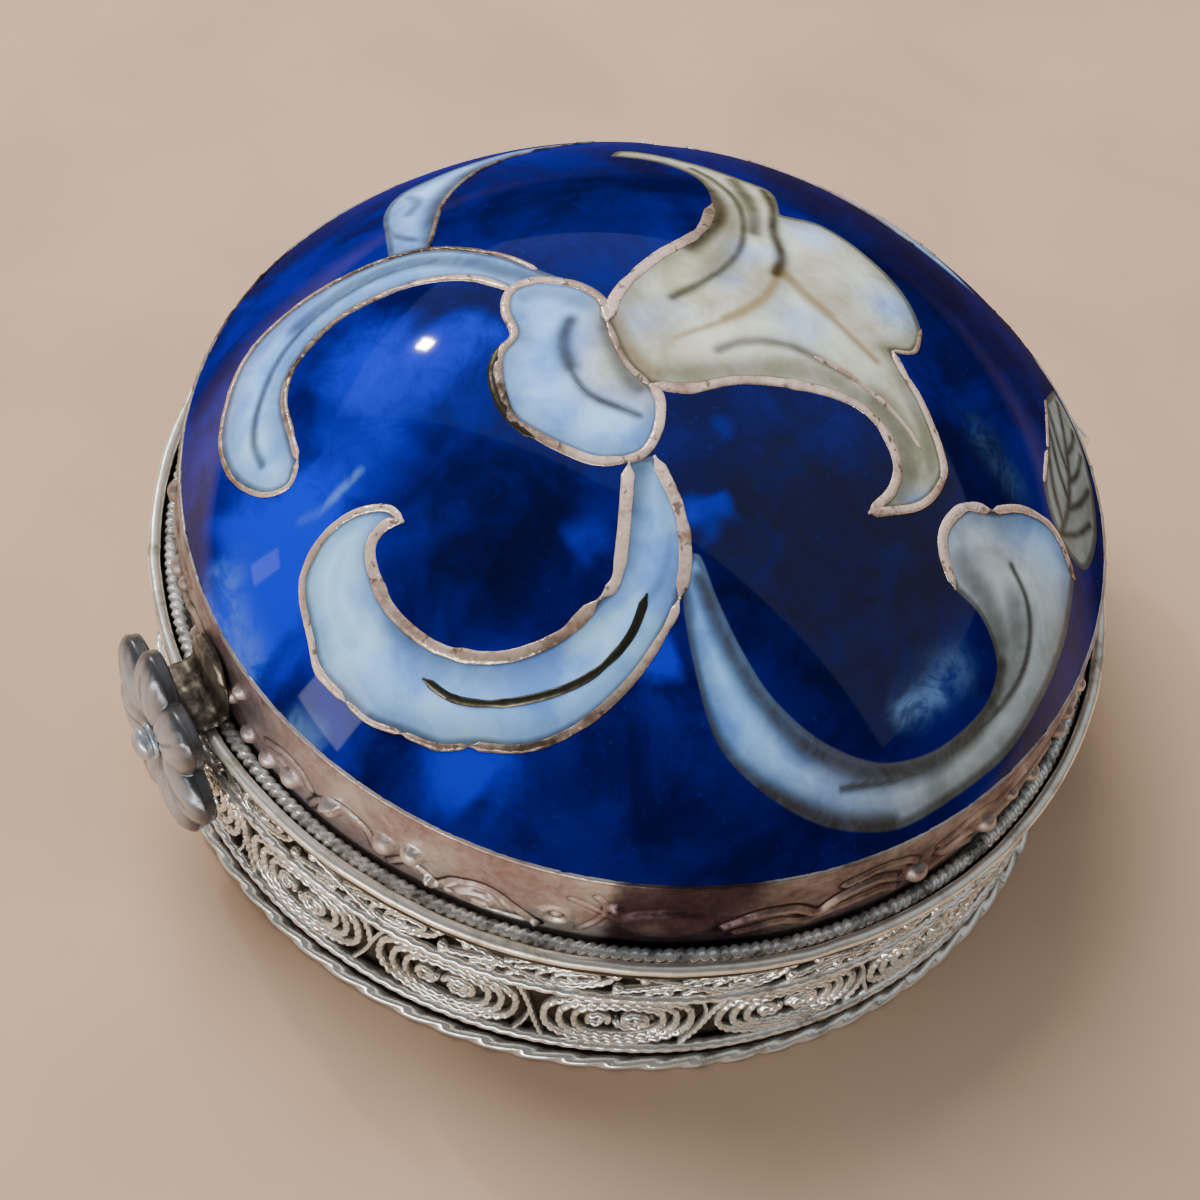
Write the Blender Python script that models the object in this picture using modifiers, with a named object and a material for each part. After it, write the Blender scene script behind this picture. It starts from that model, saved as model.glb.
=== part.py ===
"""Enamelled filigree pill box.

A round box, 49 mm across, whose lid is a dome of enamel on metal with a bare border. The base is a
silver cup in a band of wire scrolls. A flower on a strap hangs from the front of the lid over the
base, and a small hinge joins the two behind. The origin is the centre of the underside, +Z is up,
the flower is at -Y and the hinge at +Y.
"""
import math

import bmesh
import bpy
from mathutils import Matrix

mm = 0.001

# Round pieces
turned_sides = 54
touching_gap = 0.10 * mm
moving_gap = 0.15 * mm

# Base: cup and the wires round it
rim_height = 10.4 * mm
rim_radius = 24.0 * mm
rim_wire = 0.6 * mm
liner_inset = 0.75 * mm
liner_wall = 0.5 * mm
floor_thickness = 0.8 * mm
ledge_thickness = 0.5 * mm
lip_overhang = 0.05 * mm
bezel_cove = 0.5 * mm
band_wire = 0.6 * mm
mid_wire_height = 6.7 * mm
lower_wire_height = 1.45 * mm
foot_wire = 0.7 * mm
foot_wire_lift = 0.05 * mm
bezel_wall = 0.4 * mm
bezel_rise = 1.0 * mm

# Filigree band
scroll_count = 18
scroll_wire = 0.40 * mm
scroll_turns = 1.25
scroll_points_a_turn = 6
scroll_eye = 0.50 * mm
scroll_side_gap = 0.35 * mm
scroll_lean = math.radians(24)
lattice_waves = 36
lattice_wire = 0.36 * mm

# Lid
lid_wall = 0.55 * mm
border_swell = 0.12 * mm
enamel_edge_height = 5.05 * mm
border_shoulder = 1.5 * mm
border_foot_taper = 0.4 * mm
lid_foot_rise = 0.2 * mm
dome_rise = 11.5 * mm
rope_wire = 0.75 * mm
rope_drop = 0.27 * mm
lid_clearance = 0.2 * mm
outer_dome_steps = 7
inner_dome_steps = 5

# Flower clasp
flower_radius = 5.2 * mm
flower_height = 8.6 * mm
flower_edge = 1.0 * mm
petal_count = 7
petal_rise = 0.5 * mm
petal_notch = 0.30
petal_sides = 6
bead_radius = 0.80 * mm
bead_half_depth = 0.50 * mm
strap_width = 4.0 * mm
strap_thickness = 0.4 * mm
strap_on_lid = 3.5 * mm
strap_below_flower_centre = 3.0 * mm

# Hinge
barrel_radius = 0.9 * mm
hinge_bore_radius = 0.42 * mm
pin_radius = 0.36 * mm
knuckle_length = 2.8 * mm
knuckle_gap = 0.15 * mm
hinge_drop = 0.4 * mm
leaf_thickness = 0.4 * mm
lid_leaf_overlap = 0.15 * mm
base_leaf_length = 2.6 * mm
lid_leaf_rise = 2.2 * mm
knuckle_arc_steps = 10
bore_sides = 12
open_barrel_angle = math.radians(160)
closed_barrel_angle = math.radians(80)

# Sizes that follow from those above
half_wire = rim_wire / 2
rope_height = rim_height - rope_drop
rope_radius = rim_radius - half_wire - moving_gap - rope_wire / 2
border_radius = rope_radius - rope_wire / 2 - touching_gap
liner_radius = rim_radius - liner_inset
rope_top = rope_height + rope_wire / 2
enamel_edge = rim_height + enamel_edge_height
band_radius = liner_radius + touching_gap + band_wire / 2
channel_floor = rope_height - rope_wire / 2 - lid_clearance
rim_seat = rim_height - half_wire - touching_gap
channel_wall = rim_radius - half_wire
bezel_radius = border_radius - lid_wall - lid_clearance
dome_radius = (border_radius ** 2 + dome_rise ** 2) / (2 * dome_rise)
dome_centre = enamel_edge + dome_rise - dome_radius
strap_back = rim_radius + half_wire + moving_gap
flower_back = strap_back + strap_thickness + touching_gap
hinge_y = rim_radius + half_wire + moving_gap + barrel_radius
hinge_z = rim_height - hinge_drop


def clear_scene():
    for old in list(bpy.data.objects):
        bpy.data.objects.remove(old, do_unlink=True)


def finish(name, colour, metallic, roughness):
    material = bpy.data.materials.new(name)
    material.use_nodes = True
    shader = material.node_tree.nodes["Principled BSDF"]
    shader.inputs["Base Color"].default_value = (*colour, 1.0)
    shader.inputs["Metallic"].default_value = metallic
    shader.inputs["Roughness"].default_value = roughness
    material.diffuse_color = (*colour, 1.0)
    return material


def add_object(name, data, material, parent):
    piece = bpy.data.objects.new(name, data)
    box_collection.objects.link(piece)
    if material.name not in data.materials:
        data.materials.append(material)
    piece.parent = parent
    piece.location = -parent.location
    return piece


def turned(name, profile, material, parent):
    """A profile of (radius, height) pairs, swept once round +Z."""
    mesh = bpy.data.meshes.new(name)
    points = [(radius, 0.0, height) for radius, height in profile]
    edges = [(i, i + 1) for i in range(len(points) - 1)]
    mesh.from_pydata(points, edges, [])
    piece = add_object(name, mesh, material, parent)
    screw = piece.modifiers.new("turn", "SCREW")
    screw.steps = turned_sides
    screw.render_steps = turned_sides
    screw.use_merge_vertices = True
    screw.merge_threshold = 0.00001
    return piece


def wire_ring(name, radius, height, thickness, sides, material, parent):
    bpy.ops.mesh.primitive_torus_add(
        major_radius=radius, minor_radius=thickness / 2,
        major_segments=turned_sides, minor_segments=sides)
    ring = bpy.context.object
    mesh = ring.data
    mesh.name = name
    bpy.data.objects.remove(ring)
    piece = add_object(name, mesh, material, parent)
    piece.location.z += height
    mesh.shade_smooth()
    return piece


def dome_arc(radius, steps, first_angle):
    """Points on the dome from the crown outwards, and where its edge lies."""
    angles = [first_angle * i / steps for i in range(steps + 1)]
    return [(radius * math.sin(a), dome_centre + radius * math.cos(a)) for a in angles]


def lid_profile():
    outer = dome_arc(dome_radius, outer_dome_steps, math.asin(border_radius / dome_radius))
    inner_radius = dome_radius - lid_wall
    inner_edge = border_radius - lid_wall
    inner = dome_arc(inner_radius, inner_dome_steps, math.asin(inner_edge / inner_radius))
    foot = rope_height - rope_wire / 2 + lid_foot_rise
    outer_side = [
        (border_radius + border_swell, enamel_edge - border_shoulder),
        (border_radius + border_swell, rope_top + border_foot_taper),
        (border_radius, rope_top),
        (border_radius, foot),
    ]
    return outer + outer_side + [(border_radius - lid_wall, foot)] + inner[::-1]


def cup_profile():
    liner_inside = liner_radius - liner_wall
    bezel_inside = bezel_radius - bezel_wall
    bezel_top = rim_height + bezel_rise
    ledge_under = channel_floor - ledge_thickness
    lip = rim_radius + lip_overhang
    plate_radius = rim_radius - foot_wire / 2 - touching_gap
    return [
        (0.0, floor_thickness),
        (liner_inside, floor_thickness),
        (liner_inside, ledge_under - bezel_cove),
        (bezel_inside, ledge_under),
        (bezel_inside, bezel_top),
        (bezel_radius, bezel_top),
        (bezel_radius, channel_floor),
        (channel_wall, channel_floor),
        (channel_wall, rim_seat),
        (lip, rim_seat),
        (lip, rim_seat - ledge_thickness),
        (liner_radius, ledge_under),
        (liner_radius, floor_thickness),
        (plate_radius, floor_thickness),
        (plate_radius, 0.0),
        (0.0, 0.0),
    ]


def spiral(outer_width, outer_height, start_angle, direction):
    """Points from the outer turn into the eye of one scroll, flat, about its own centre."""
    steps = round(scroll_turns * scroll_points_a_turn)
    points = []
    for i in range(steps + 1):
        share = i / steps
        angle = start_angle + direction * scroll_turns * math.tau * share
        wide = outer_width + (scroll_eye - outer_width) * share
        high = outer_height + (scroll_eye - outer_height) * share
        points.append((wide * math.cos(angle), high * math.sin(angle)))
    return points


def scroll_route():
    """An S scroll laid flat: distance along the band, and height above the band's middle."""
    cell_width = math.tau * band_radius / scroll_count
    band_height = mid_wire_height - lower_wire_height - band_wire
    high = (band_height - scroll_wire) / 2 - touching_gap
    wide = (cell_width - scroll_wire) / 4 - scroll_side_gap / 2
    centre = wide + scroll_wire / 2
    right = spiral(wide, high, math.pi / 2 + scroll_lean, -1)
    right = [(centre + x, z) for x, z in right]
    left = [(-x, -z) for x, z in right]
    return left[::-1] + right


def wrapped(along, height, radius):
    """A point of a flat pattern, bent round the box's axis from +X."""
    turn = along / radius
    return (radius * math.cos(turn), radius * math.sin(turn), height)


def wire_curve(name, points, thickness, closed):
    curve = bpy.data.curves.new(name, "CURVE")
    curve.dimensions = "3D"
    curve.bevel_depth = thickness / 2
    curve.bevel_resolution = 0
    curve.use_fill_caps = not closed
    spline = curve.splines.new("POLY")
    spline.points.add(len(points) - 1)
    for point, place in zip(spline.points, points):
        point.co = (*place, 1.0)
    spline.use_cyclic_u = closed
    return curve


def scroll_wires(material, parent):
    radius = liner_radius + touching_gap + scroll_wire / 2
    middle = (mid_wire_height + lower_wire_height) / 2
    points = [wrapped(along, middle + height, radius) for along, height in scroll_route()]
    curve = wire_curve("scroll", points, scroll_wire, False)
    for i in range(scroll_count):
        piece = add_object(f"scroll_{i + 1:02d}", curve, material, parent)
        piece.rotation_euler.z = math.tau * i / scroll_count - math.pi / 2


def lattice(material, parent):
    radius = liner_radius + touching_gap + lattice_wire / 2
    low = mid_wire_height + (band_wire + lattice_wire) / 2 + touching_gap
    high = channel_floor - ledge_thickness - lattice_wire / 2 - touching_gap
    wave_length = math.tau * radius / lattice_waves
    points = []
    for i in range(lattice_waves * 2):
        height = high if i % 2 else low
        points.append(wrapped(i * wave_length / 2, height, radius))
    add_object("lattice_wire", wire_curve("lattice_wire", points, lattice_wire, True), material, parent)


def petal_share(angle):
    """How far out the flower reaches at an angle, 1 at a petal's tip and less in a notch."""
    across = abs(math.cos(angle * petal_count / 2))
    return 1 - petal_notch * (1 - across) ** 2


def flower(material, parent):
    """A round slug spun from its section, then drawn in between the petals and raised on each."""
    rings = [0.0, 0.35, 0.68, 0.92, 1.0]
    section = bmesh.new()
    outline = [(flower_radius * ring, flower_edge) for ring in rings] + [(flower_radius, 0.0), (0.0, 0.0)]
    verts = [section.verts.new((radius, 0.0, height)) for radius, height in outline]
    edges = [section.edges.new(pair) for pair in zip(verts, verts[1:])]
    bmesh.ops.spin(
        section, geom=verts + edges, cent=(0, 0, 0), axis=(0, 0, 1), angle=math.tau,
        steps=petal_count * petal_sides, use_merge=True)
    bmesh.ops.remove_doubles(section, verts=section.verts, dist=touching_gap / 100)
    for vert in section.verts:
        angle = math.atan2(vert.co.y, vert.co.x)
        out = math.hypot(vert.co.x, vert.co.y) / flower_radius
        share = petal_share(angle)
        crest = math.sin(math.pi * min(out, 1.0)) * abs(math.cos(angle * petal_count / 2)) ** 0.5
        if vert.co.z > 0:
            vert.co.z += petal_rise * crest
        vert.co.x *= share
        vert.co.y *= share
    bmesh.ops.recalc_face_normals(section, faces=section.faces)
    mesh = bpy.data.meshes.new("clasp_flower")
    section.to_mesh(mesh)
    section.free()
    piece = add_object("clasp_flower", mesh, material, parent)
    piece.location.y -= flower_back
    piece.location.z += flower_height
    piece.rotation_euler.x = math.pi / 2


def bead(material, parent):
    """A round button, flatter than a ball, at the middle of the flower."""
    bpy.ops.mesh.primitive_uv_sphere_add(radius=bead_radius, segments=8, ring_count=6)
    ball = bpy.context.object
    mesh = ball.data
    mesh.name = "clasp_bead"
    bpy.data.objects.remove(ball)
    mesh.transform(Matrix.Diagonal((1.0, bead_half_depth / bead_radius, 1.0, 1.0)))
    mesh.shade_smooth()
    piece = add_object("clasp_bead", mesh, material, parent)
    piece.location.y -= flower_back + flower_edge + touching_gap + bead_half_depth
    piece.location.z += flower_height


def extruded_section(name, outlines, width, middle_x, material, parent):
    """Closed outlines of (y, z) points, extruded along X; a second outline is a hole."""
    curve = bpy.data.curves.new(name, "CURVE")
    curve.dimensions = "2D"
    curve.fill_mode = "BOTH"
    curve.extrude = width / 2
    for outline in outlines:
        spline = curve.splines.new("POLY")
        spline.points.add(len(outline) - 1)
        for point, (across, up) in zip(spline.points, outline):
            point.co = (across, up, 0.0, 1.0)
        spline.use_cyclic_u = True
    piece = add_object(name, curve, material, parent)
    piece.location.x += middle_x
    piece.rotation_euler = (math.pi / 2, 0.0, math.pi / 2)
    return piece


def strap(material, parent):
    """From the lid's border, over the rope and the rim wire, and down behind the flower."""
    on_border = -(border_radius + border_swell + touching_gap)
    front = -strap_back
    over_rim = rim_height + half_wire + moving_gap
    bend = over_rim + strap_thickness
    tail = flower_height - strap_below_flower_centre
    outline = [
        (on_border, over_rim),
        (on_border, over_rim + strap_on_lid),
        (on_border - strap_thickness, over_rim + strap_on_lid),
        (on_border - strap_thickness, bend),
        (front, bend),
        (front - strap_thickness, over_rim),
        (front - strap_thickness, tail),
        (front, tail),
        (front, over_rim),
    ]
    extruded_section("clasp_strap", [outline], strap_width, 0.0, material, parent)


def barrel_arc(start, end):
    """Points round the hinge's barrel, anticlockwise seen from +X."""
    angles = [start + (end - start) * i / knuckle_arc_steps for i in range(knuckle_arc_steps + 1)]
    return [(hinge_y + barrel_radius * math.cos(a), hinge_z + barrel_radius * math.sin(a)) for a in angles]


def bore_outline():
    angles = [math.tau * i / bore_sides for i in range(bore_sides)]
    return [(hinge_y + hinge_bore_radius * math.cos(a), hinge_z + hinge_bore_radius * math.sin(a)) for a in angles]


def base_knuckles(material, parent):
    inner = hinge_y - barrel_radius
    outer = inner + leaf_thickness
    meeting = math.acos((outer - hinge_y) / barrel_radius)
    leaf_foot = hinge_z - barrel_radius - base_leaf_length
    outline = barrel_arc(math.tau - meeting, math.pi + math.tau) + [(inner, leaf_foot), (outer, leaf_foot)]
    offset = knuckle_length + knuckle_gap
    for side, name in ((-1, "hinge_knuckle_left"), (1, "hinge_knuckle_right")):
        extruded_section(name, [outline, bore_outline()], knuckle_length, side * offset, material, parent)


def lid_knuckle(material, parent):
    on_border = border_radius + border_swell + touching_gap
    over_rim = rim_height + half_wire + moving_gap
    outline = barrel_arc(open_barrel_angle, closed_barrel_angle + math.tau) + [
        (hinge_y - lid_leaf_overlap, over_rim + leaf_thickness),
        (on_border + leaf_thickness, over_rim + leaf_thickness),
        (on_border + leaf_thickness, over_rim + lid_leaf_rise),
        (on_border, over_rim + lid_leaf_rise),
        (on_border, over_rim),
        (hinge_y - barrel_radius, over_rim),
    ]
    extruded_section("hinge_knuckle_lid", [outline, bore_outline()], knuckle_length, 0.0, material, parent)


def hinge_pin(material, parent):
    length = 3 * knuckle_length + 2 * knuckle_gap
    bpy.ops.mesh.primitive_cylinder_add(vertices=8, radius=pin_radius, depth=length)
    rod = bpy.context.object
    mesh = rod.data
    mesh.name = "hinge_pin"
    bpy.data.objects.remove(rod)
    piece = add_object("hinge_pin", mesh, material, parent)
    piece.location.y += hinge_y
    piece.location.z += hinge_z
    piece.rotation_euler.y = math.pi / 2


def empty(name, place):
    marker = bpy.data.objects.new(name, None)
    box_collection.objects.link(marker)
    marker.location = place
    return marker


def build_base(silver, dark_silver):
    base = empty("base_origin", (0.0, 0.0, 0.0))
    turned("base_cup", cup_profile(), dark_silver, base)
    wire_ring("rim_wire", rim_radius, rim_height, rim_wire, 5, silver, base)
    wire_ring("mid_wire", band_radius, mid_wire_height, band_wire, 4, silver, base)
    wire_ring("lower_wire", band_radius, lower_wire_height, band_wire, 4, silver, base)
    wire_ring("foot_wire", rim_radius, foot_wire / 2 + foot_wire_lift, foot_wire, 4, silver, base)
    scroll_wires(silver, base)
    lattice(silver, base)
    base_knuckles(silver, base)
    hinge_pin(silver, base)


def build_lid(enamel, silver, dark_silver):
    lid = empty("lid_hinge_axis", (0.0, hinge_y, hinge_z))
    turned("lid_shell", lid_profile(), enamel, lid)
    wire_ring("lid_rope", rope_radius, rope_height, rope_wire, 5, dark_silver, lid)
    strap(dark_silver, lid)
    flower(silver, lid)
    bead(silver, lid)
    lid_knuckle(silver, lid)


clear_scene()
box_collection = bpy.data.collections.new("pill_box")
bpy.context.scene.collection.children.link(box_collection)
silver_finish = finish("silver", (0.72, 0.70, 0.64), 1.0, 0.30)
dark_silver_finish = finish("dark_silver", (0.16, 0.16, 0.17), 1.0, 0.42)
enamel_finish = finish("enamel_on_metal", (0.01, 0.03, 0.36), 0.0, 0.08)
build_base(silver_finish, dark_silver_finish)
build_lid(enamel_finish, silver_finish, dark_silver_finish)
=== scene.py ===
"""Enamelled filigree pill box: the looks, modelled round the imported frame.

The lid is a dome of blue enamel with a pale flower and leaves, held in thin copper lines, over a
bare copper border in low relief and a twisted rope of worn silver. The base is a dark cup in two
bands of wire scrolls, and a hinge at the back joins it to the lid. Lengths in the pieces' own
functions are in millimetres, and each mesh is written in metres. The picture on the lid is laid
out as seen from the camera's side: x to the right, y away.
"""
import math

import bpy
import numpy as np
from mathutils import Matrix, Vector


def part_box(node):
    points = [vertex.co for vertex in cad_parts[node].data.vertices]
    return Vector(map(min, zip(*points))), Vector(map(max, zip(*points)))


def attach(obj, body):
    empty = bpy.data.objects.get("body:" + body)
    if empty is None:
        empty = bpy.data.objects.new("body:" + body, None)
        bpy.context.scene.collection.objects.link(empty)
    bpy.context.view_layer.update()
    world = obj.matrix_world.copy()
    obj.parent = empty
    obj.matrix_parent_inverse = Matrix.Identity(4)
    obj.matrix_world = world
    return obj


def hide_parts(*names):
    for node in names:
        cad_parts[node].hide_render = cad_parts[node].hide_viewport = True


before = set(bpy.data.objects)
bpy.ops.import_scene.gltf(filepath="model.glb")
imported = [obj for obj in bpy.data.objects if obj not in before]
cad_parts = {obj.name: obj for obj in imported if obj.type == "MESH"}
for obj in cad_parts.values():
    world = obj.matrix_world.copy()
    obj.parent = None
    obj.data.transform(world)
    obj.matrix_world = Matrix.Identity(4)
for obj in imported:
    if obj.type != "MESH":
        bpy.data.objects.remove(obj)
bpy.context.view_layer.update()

mm = 0.001
front = math.radians(-90)


def box_mm(node):
    low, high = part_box(node)
    return np.array(low) / mm, np.array(high) / mm


# Sizes read from the frame, in millimetres
shell_low, shell_high = box_mm("lid_shell")
rope_low, rope_high = box_mm("lid_rope")
rim_low, rim_high = box_mm("rim_wire")
mid_low, mid_high = box_mm("mid_wire")
lower_low, lower_high = box_mm("lower_wire")
foot_low, foot_high = box_mm("foot_wire")
cup_top = box_mm("base_cup")[1][2]
flower_low, flower_high = box_mm("clasp_flower")
bead_low, bead_high = box_mm("clasp_bead")
strap_low, strap_high = box_mm("clasp_strap")
pin_low, pin_high = box_mm("hinge_pin")
lattice_high = box_mm("lattice_wire")[1]

# Wire thicknesses
rim_wire = 0.6
rope_wire = 0.75
band_wire = 0.6
foot_wire = 0.7

# Lid
border_swell = 0.12
border_outer = shell_high[0]
border_radius = border_outer - border_swell
lid_wall = 0.55
lid_foot = shell_low[2]
enamel_edge = 15.45
enamel_thickness = 0.2
crown = shell_high[2]
dome_rise = crown - enamel_edge
dome_radius = (border_radius ** 2 + dome_rise ** 2) / (2 * dome_rise)
dome_centre = crown - dome_radius

# Base
lattice_depth = 0.46
liner_radius = lattice_high[0] - lattice_depth
liner_wall = 0.5
floor_top = 0.8
foot_radius = 23.55
rope_channel_floor = 9.555
rope_channel_wall = 23.7
ledge_thickness = 0.5
rim_seat = 10.0
rim_seat_radius = 24.05
bezel_clearance = 0.2
bezel_wall = 0.4
rim_radius = rim_high[0] - rim_wire / 2
rim_height = (rim_low[2] + rim_high[2]) / 2
over_rim = rim_height + rim_wire / 2 + 0.15

# Hinge and clasp
hinge_bore = 0.42
hinge_pin_radius = 0.36
leaf_thickness = 0.4
rivet_radius = 0.42
strap_thickness = 0.4


# Mesh helpers

def select_only(piece):
    bpy.ops.object.select_all(action="DESELECT")
    piece.select_set(True)
    bpy.context.view_layer.objects.active = piece


def paint(piece, *materials):
    piece.data.materials.clear()
    for material in materials:
        piece.data.materials.append(material)
    return piece


def in_scene(name, data):
    """A new object for the data, in the scene."""
    piece = bpy.data.objects.new(name, data)
    bpy.context.scene.collection.objects.link(piece)
    return piece


def named(piece, name):
    piece.name = name
    piece.data.name = name
    return piece


def mesh_piece(name, points, faces, *materials):
    """An object from points in millimetres and lists of corners."""
    mesh = bpy.data.meshes.new(name)
    mesh.from_pydata((np.asarray(points, float) * mm).tolist(), [], faces)
    mesh.shade_smooth()
    return paint(in_scene(name, mesh), *materials)


def tidy_normals(piece, merge=1e-7):
    """Turns the faces outwards, after merging points that are closer than so many metres."""
    select_only(piece)
    bpy.ops.object.mode_set(mode="EDIT")
    bpy.ops.mesh.select_all(action="SELECT")
    if merge:
        bpy.ops.mesh.remove_doubles(threshold=merge)
    bpy.ops.mesh.normals_make_consistent(inside=False)
    bpy.ops.object.mode_set(mode="OBJECT")
    return piece


def apply_place(piece):
    select_only(piece)
    bpy.ops.object.transform_apply(location=True, rotation=True, scale=True)
    return piece


def grid_faces(rows, columns, close_rows=False):
    """Quads over closed rows of points that are numbered row by row."""
    row_count = rows if close_rows else rows - 1
    i, j = np.meshgrid(np.arange(row_count), np.arange(columns), indexing="ij")
    here, below = i * columns, (i + 1) % rows * columns
    beside = (j + 1) % columns
    return np.stack([here + j, here + beside, below + beside, below + j], -1).reshape(-1, 4).tolist()


def capped_tube(rings):
    """Points and faces of a tube through rings of points, with flat ends."""
    count, sides = rings.shape[:2]
    faces = grid_faces(count, sides)
    faces.append(list(range(sides))[::-1])
    faces.append(list(range((count - 1) * sides, count * sides)))
    return rings.reshape(-1, 3), faces


def joined(parts):
    """One list of points and one of faces from several."""
    points, faces, start = [], [], 0
    for part_points, part_faces in parts:
        points.append(np.asarray(part_points))
        faces.extend([[start + corner for corner in face] for face in part_faces])
        start += len(part_points)
    return np.vstack(points), faces


def point_attributes(piece, **values):
    """Writes one value for each point under each name, for the shaders to read."""
    for name, value in values.items():
        layer = piece.data.attributes.new(name, "FLOAT", "POINT")
        layer.data.foreach_set("value", np.asarray(value, np.float32).ravel())


def points_of(piece):
    places = np.zeros(len(piece.data.vertices) * 3, np.float32)
    piece.data.vertices.foreach_get("co", places)
    return places.reshape(-1, 3).astype(float) / mm


def set_points(piece, places):
    piece.data.vertices.foreach_set("co", (places * mm).astype(np.float32).ravel())
    piece.data.update()


def wobble(along, seed):
    """A smooth, uneven wave between about -1 and 1, the same each run."""
    total = np.zeros_like(np.asarray(along, float))
    for k in range(5):
        total += np.sin(np.asarray(along) * (0.7 + 0.83 * k) + seed * (1.3 + 2.1 * k)) / (1 + 0.5 * k)
    return total / 2.2


def smooth_line(points, spacing):
    """Even points along a smooth curve through the given ones, so many millimetres apart."""
    points = np.array(points, float)
    guide = np.vstack([2 * points[:1] - points[1:2], points, 2 * points[-1:] - points[-2:-1]])
    t = np.linspace(0, 1, 17)[:-1, None]
    runs = []
    for a, b, c, d in zip(guide, guide[1:], guide[2:], guide[3:]):
        bend = (2 * a - 5 * b + 4 * c - d) * t ** 2 + (3 * b - a - 3 * c + d) * t ** 3
        runs.append(0.5 * (2 * b + (c - a) * t + bend))
    runs.append(guide[-2:-1])
    line = np.vstack(runs)
    gone = np.r_[0, np.cumsum(np.linalg.norm(np.diff(line, axis=0), axis=1))]
    at = np.linspace(0, gone[-1], max(int(gone[-1] / spacing), 2) + 1)
    return np.column_stack([np.interp(at, gone, line[:, k]) for k in range(line.shape[1])])


def turned(name, profile, steps, *materials):
    """A closed profile of (radius, height) points, spun round +Z."""
    mesh = bpy.data.meshes.new(name)
    points = [(radius * mm, 0.0, height * mm) for radius, height in profile]
    mesh.from_pydata(points, [(i, i + 1) for i in range(len(points) - 1)], [])
    piece = in_scene(name, mesh)
    select_only(piece)
    bpy.ops.object.mode_set(mode="EDIT")
    bpy.ops.mesh.select_all(action="SELECT")
    bpy.ops.mesh.spin(steps=steps, angle=math.tau, center=(0, 0, 0), axis=(0, 0, 1))
    bpy.ops.object.mode_set(mode="OBJECT")
    tidy_normals(piece, 1e-6)
    return paint(piece, *materials)


def bevelled(piece, width, segments=2, angle=40):
    """Rounds the edges that are sharper than the angle, by a width in millimetres."""
    select_only(piece)
    bevel = piece.modifiers.new("edges", "BEVEL")
    bevel.width = width * mm
    bevel.segments = segments
    bevel.limit_method = "ANGLE"
    bevel.angle_limit = math.radians(angle)
    bpy.ops.object.modifier_apply(modifier="edges")
    bpy.ops.object.shade_smooth_by_angle(angle=math.radians(angle))
    return piece


def placed(piece, body, slot, *nodes):
    """The piece rides on its body and stands for its nodes. The slot is not used."""
    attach(piece, body)
    if nodes:
        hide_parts(*nodes)
    return piece


# Shader helpers

def shader_group(name, inputs, outputs):
    """An empty node group with named sockets, and its in and out nodes."""
    tree = bpy.data.node_groups.new(name, "ShaderNodeTree")
    for label, kind, value in inputs:
        socket = tree.interface.new_socket(name=label, in_out="INPUT", socket_type=kind)
        if value is not None:
            socket.default_value = value
    for label, kind in outputs:
        tree.interface.new_socket(name=label, in_out="OUTPUT", socket_type=kind)
    return tree, tree.nodes.new("NodeGroupInput").outputs, tree.nodes.new("NodeGroupOutput").inputs


def wire_in(tree, socket, value):
    """Links a socket, or sets a plain number or colour."""
    if isinstance(value, bpy.types.NodeSocket):
        tree.links.new(value, socket)
    elif isinstance(value, tuple) and len(value) == 3 and socket.type == "RGBA":
        socket.default_value = (*value, 1.0)
    else:
        socket.default_value = value


def maths(tree, operation, a, b):
    node = tree.nodes.new("ShaderNodeMath")
    node.operation = operation
    wire_in(tree, node.inputs[0], a)
    wire_in(tree, node.inputs[1], b)
    return node.outputs[0]


def times(tree, a, b):
    return maths(tree, "MULTIPLY", a, b)


def plus(tree, a, b):
    return maths(tree, "ADD", a, b)


def remap(tree, value, low, high, to_low=0.0, to_high=1.0):
    """The value's soft step from low to high, put between two other values."""
    node = tree.nodes.new("ShaderNodeMapRange")
    node.interpolation_type = "SMOOTHSTEP"
    for socket, item in zip(node.inputs, (value, low, high, to_low, to_high)):
        wire_in(tree, socket, item)
    return node.outputs[0]


def blend_colour(tree, share, first, second, kind="MIX"):
    node = tree.nodes.new("ShaderNodeMix")
    node.data_type = "RGBA"
    node.blend_type = kind
    wire_in(tree, node.inputs[0], share)
    wire_in(tree, node.inputs[6], first)
    wire_in(tree, node.inputs[7], second)
    return node.outputs[2]


def noise(tree, vector, scale, detail, roughness=0.55, distortion=0.0):
    node = tree.nodes.new("ShaderNodeTexNoise")
    wire_in(tree, node.inputs["Vector"], vector)
    wire_in(tree, node.inputs["Scale"], scale)
    node.inputs["Detail"].default_value = detail
    node.inputs["Roughness"].default_value = roughness
    node.inputs["Distortion"].default_value = distortion
    return node.outputs["Fac"]


def read_attribute(tree, name):
    node = tree.nodes.new("ShaderNodeAttribute")
    node.attribute_name = name
    return node.outputs["Fac"]


def object_place(tree):
    return tree.nodes.new("ShaderNodeTexCoord").outputs["Object"]


def use_group(tree, group, **values):
    node = tree.nodes.new("ShaderNodeGroup")
    node.node_tree = group
    for label, value in values.items():
        wire_in(tree, node.inputs[label.replace("_", " ")], value)
    return node.outputs


def new_material(name):
    material = bpy.data.materials.new(name)
    material.use_nodes = True
    tree = material.node_tree
    return material, tree, tree.nodes["Principled BSDF"]


def bump(tree, shader, height, distance):
    node = tree.nodes.new("ShaderNodeBump")
    node.inputs["Distance"].default_value = distance
    node.inputs["Strength"].default_value = 1.0
    wire_in(tree, node.inputs["Height"], height)
    tree.links.new(node.outputs["Normal"], shader.inputs["Normal"])


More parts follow.
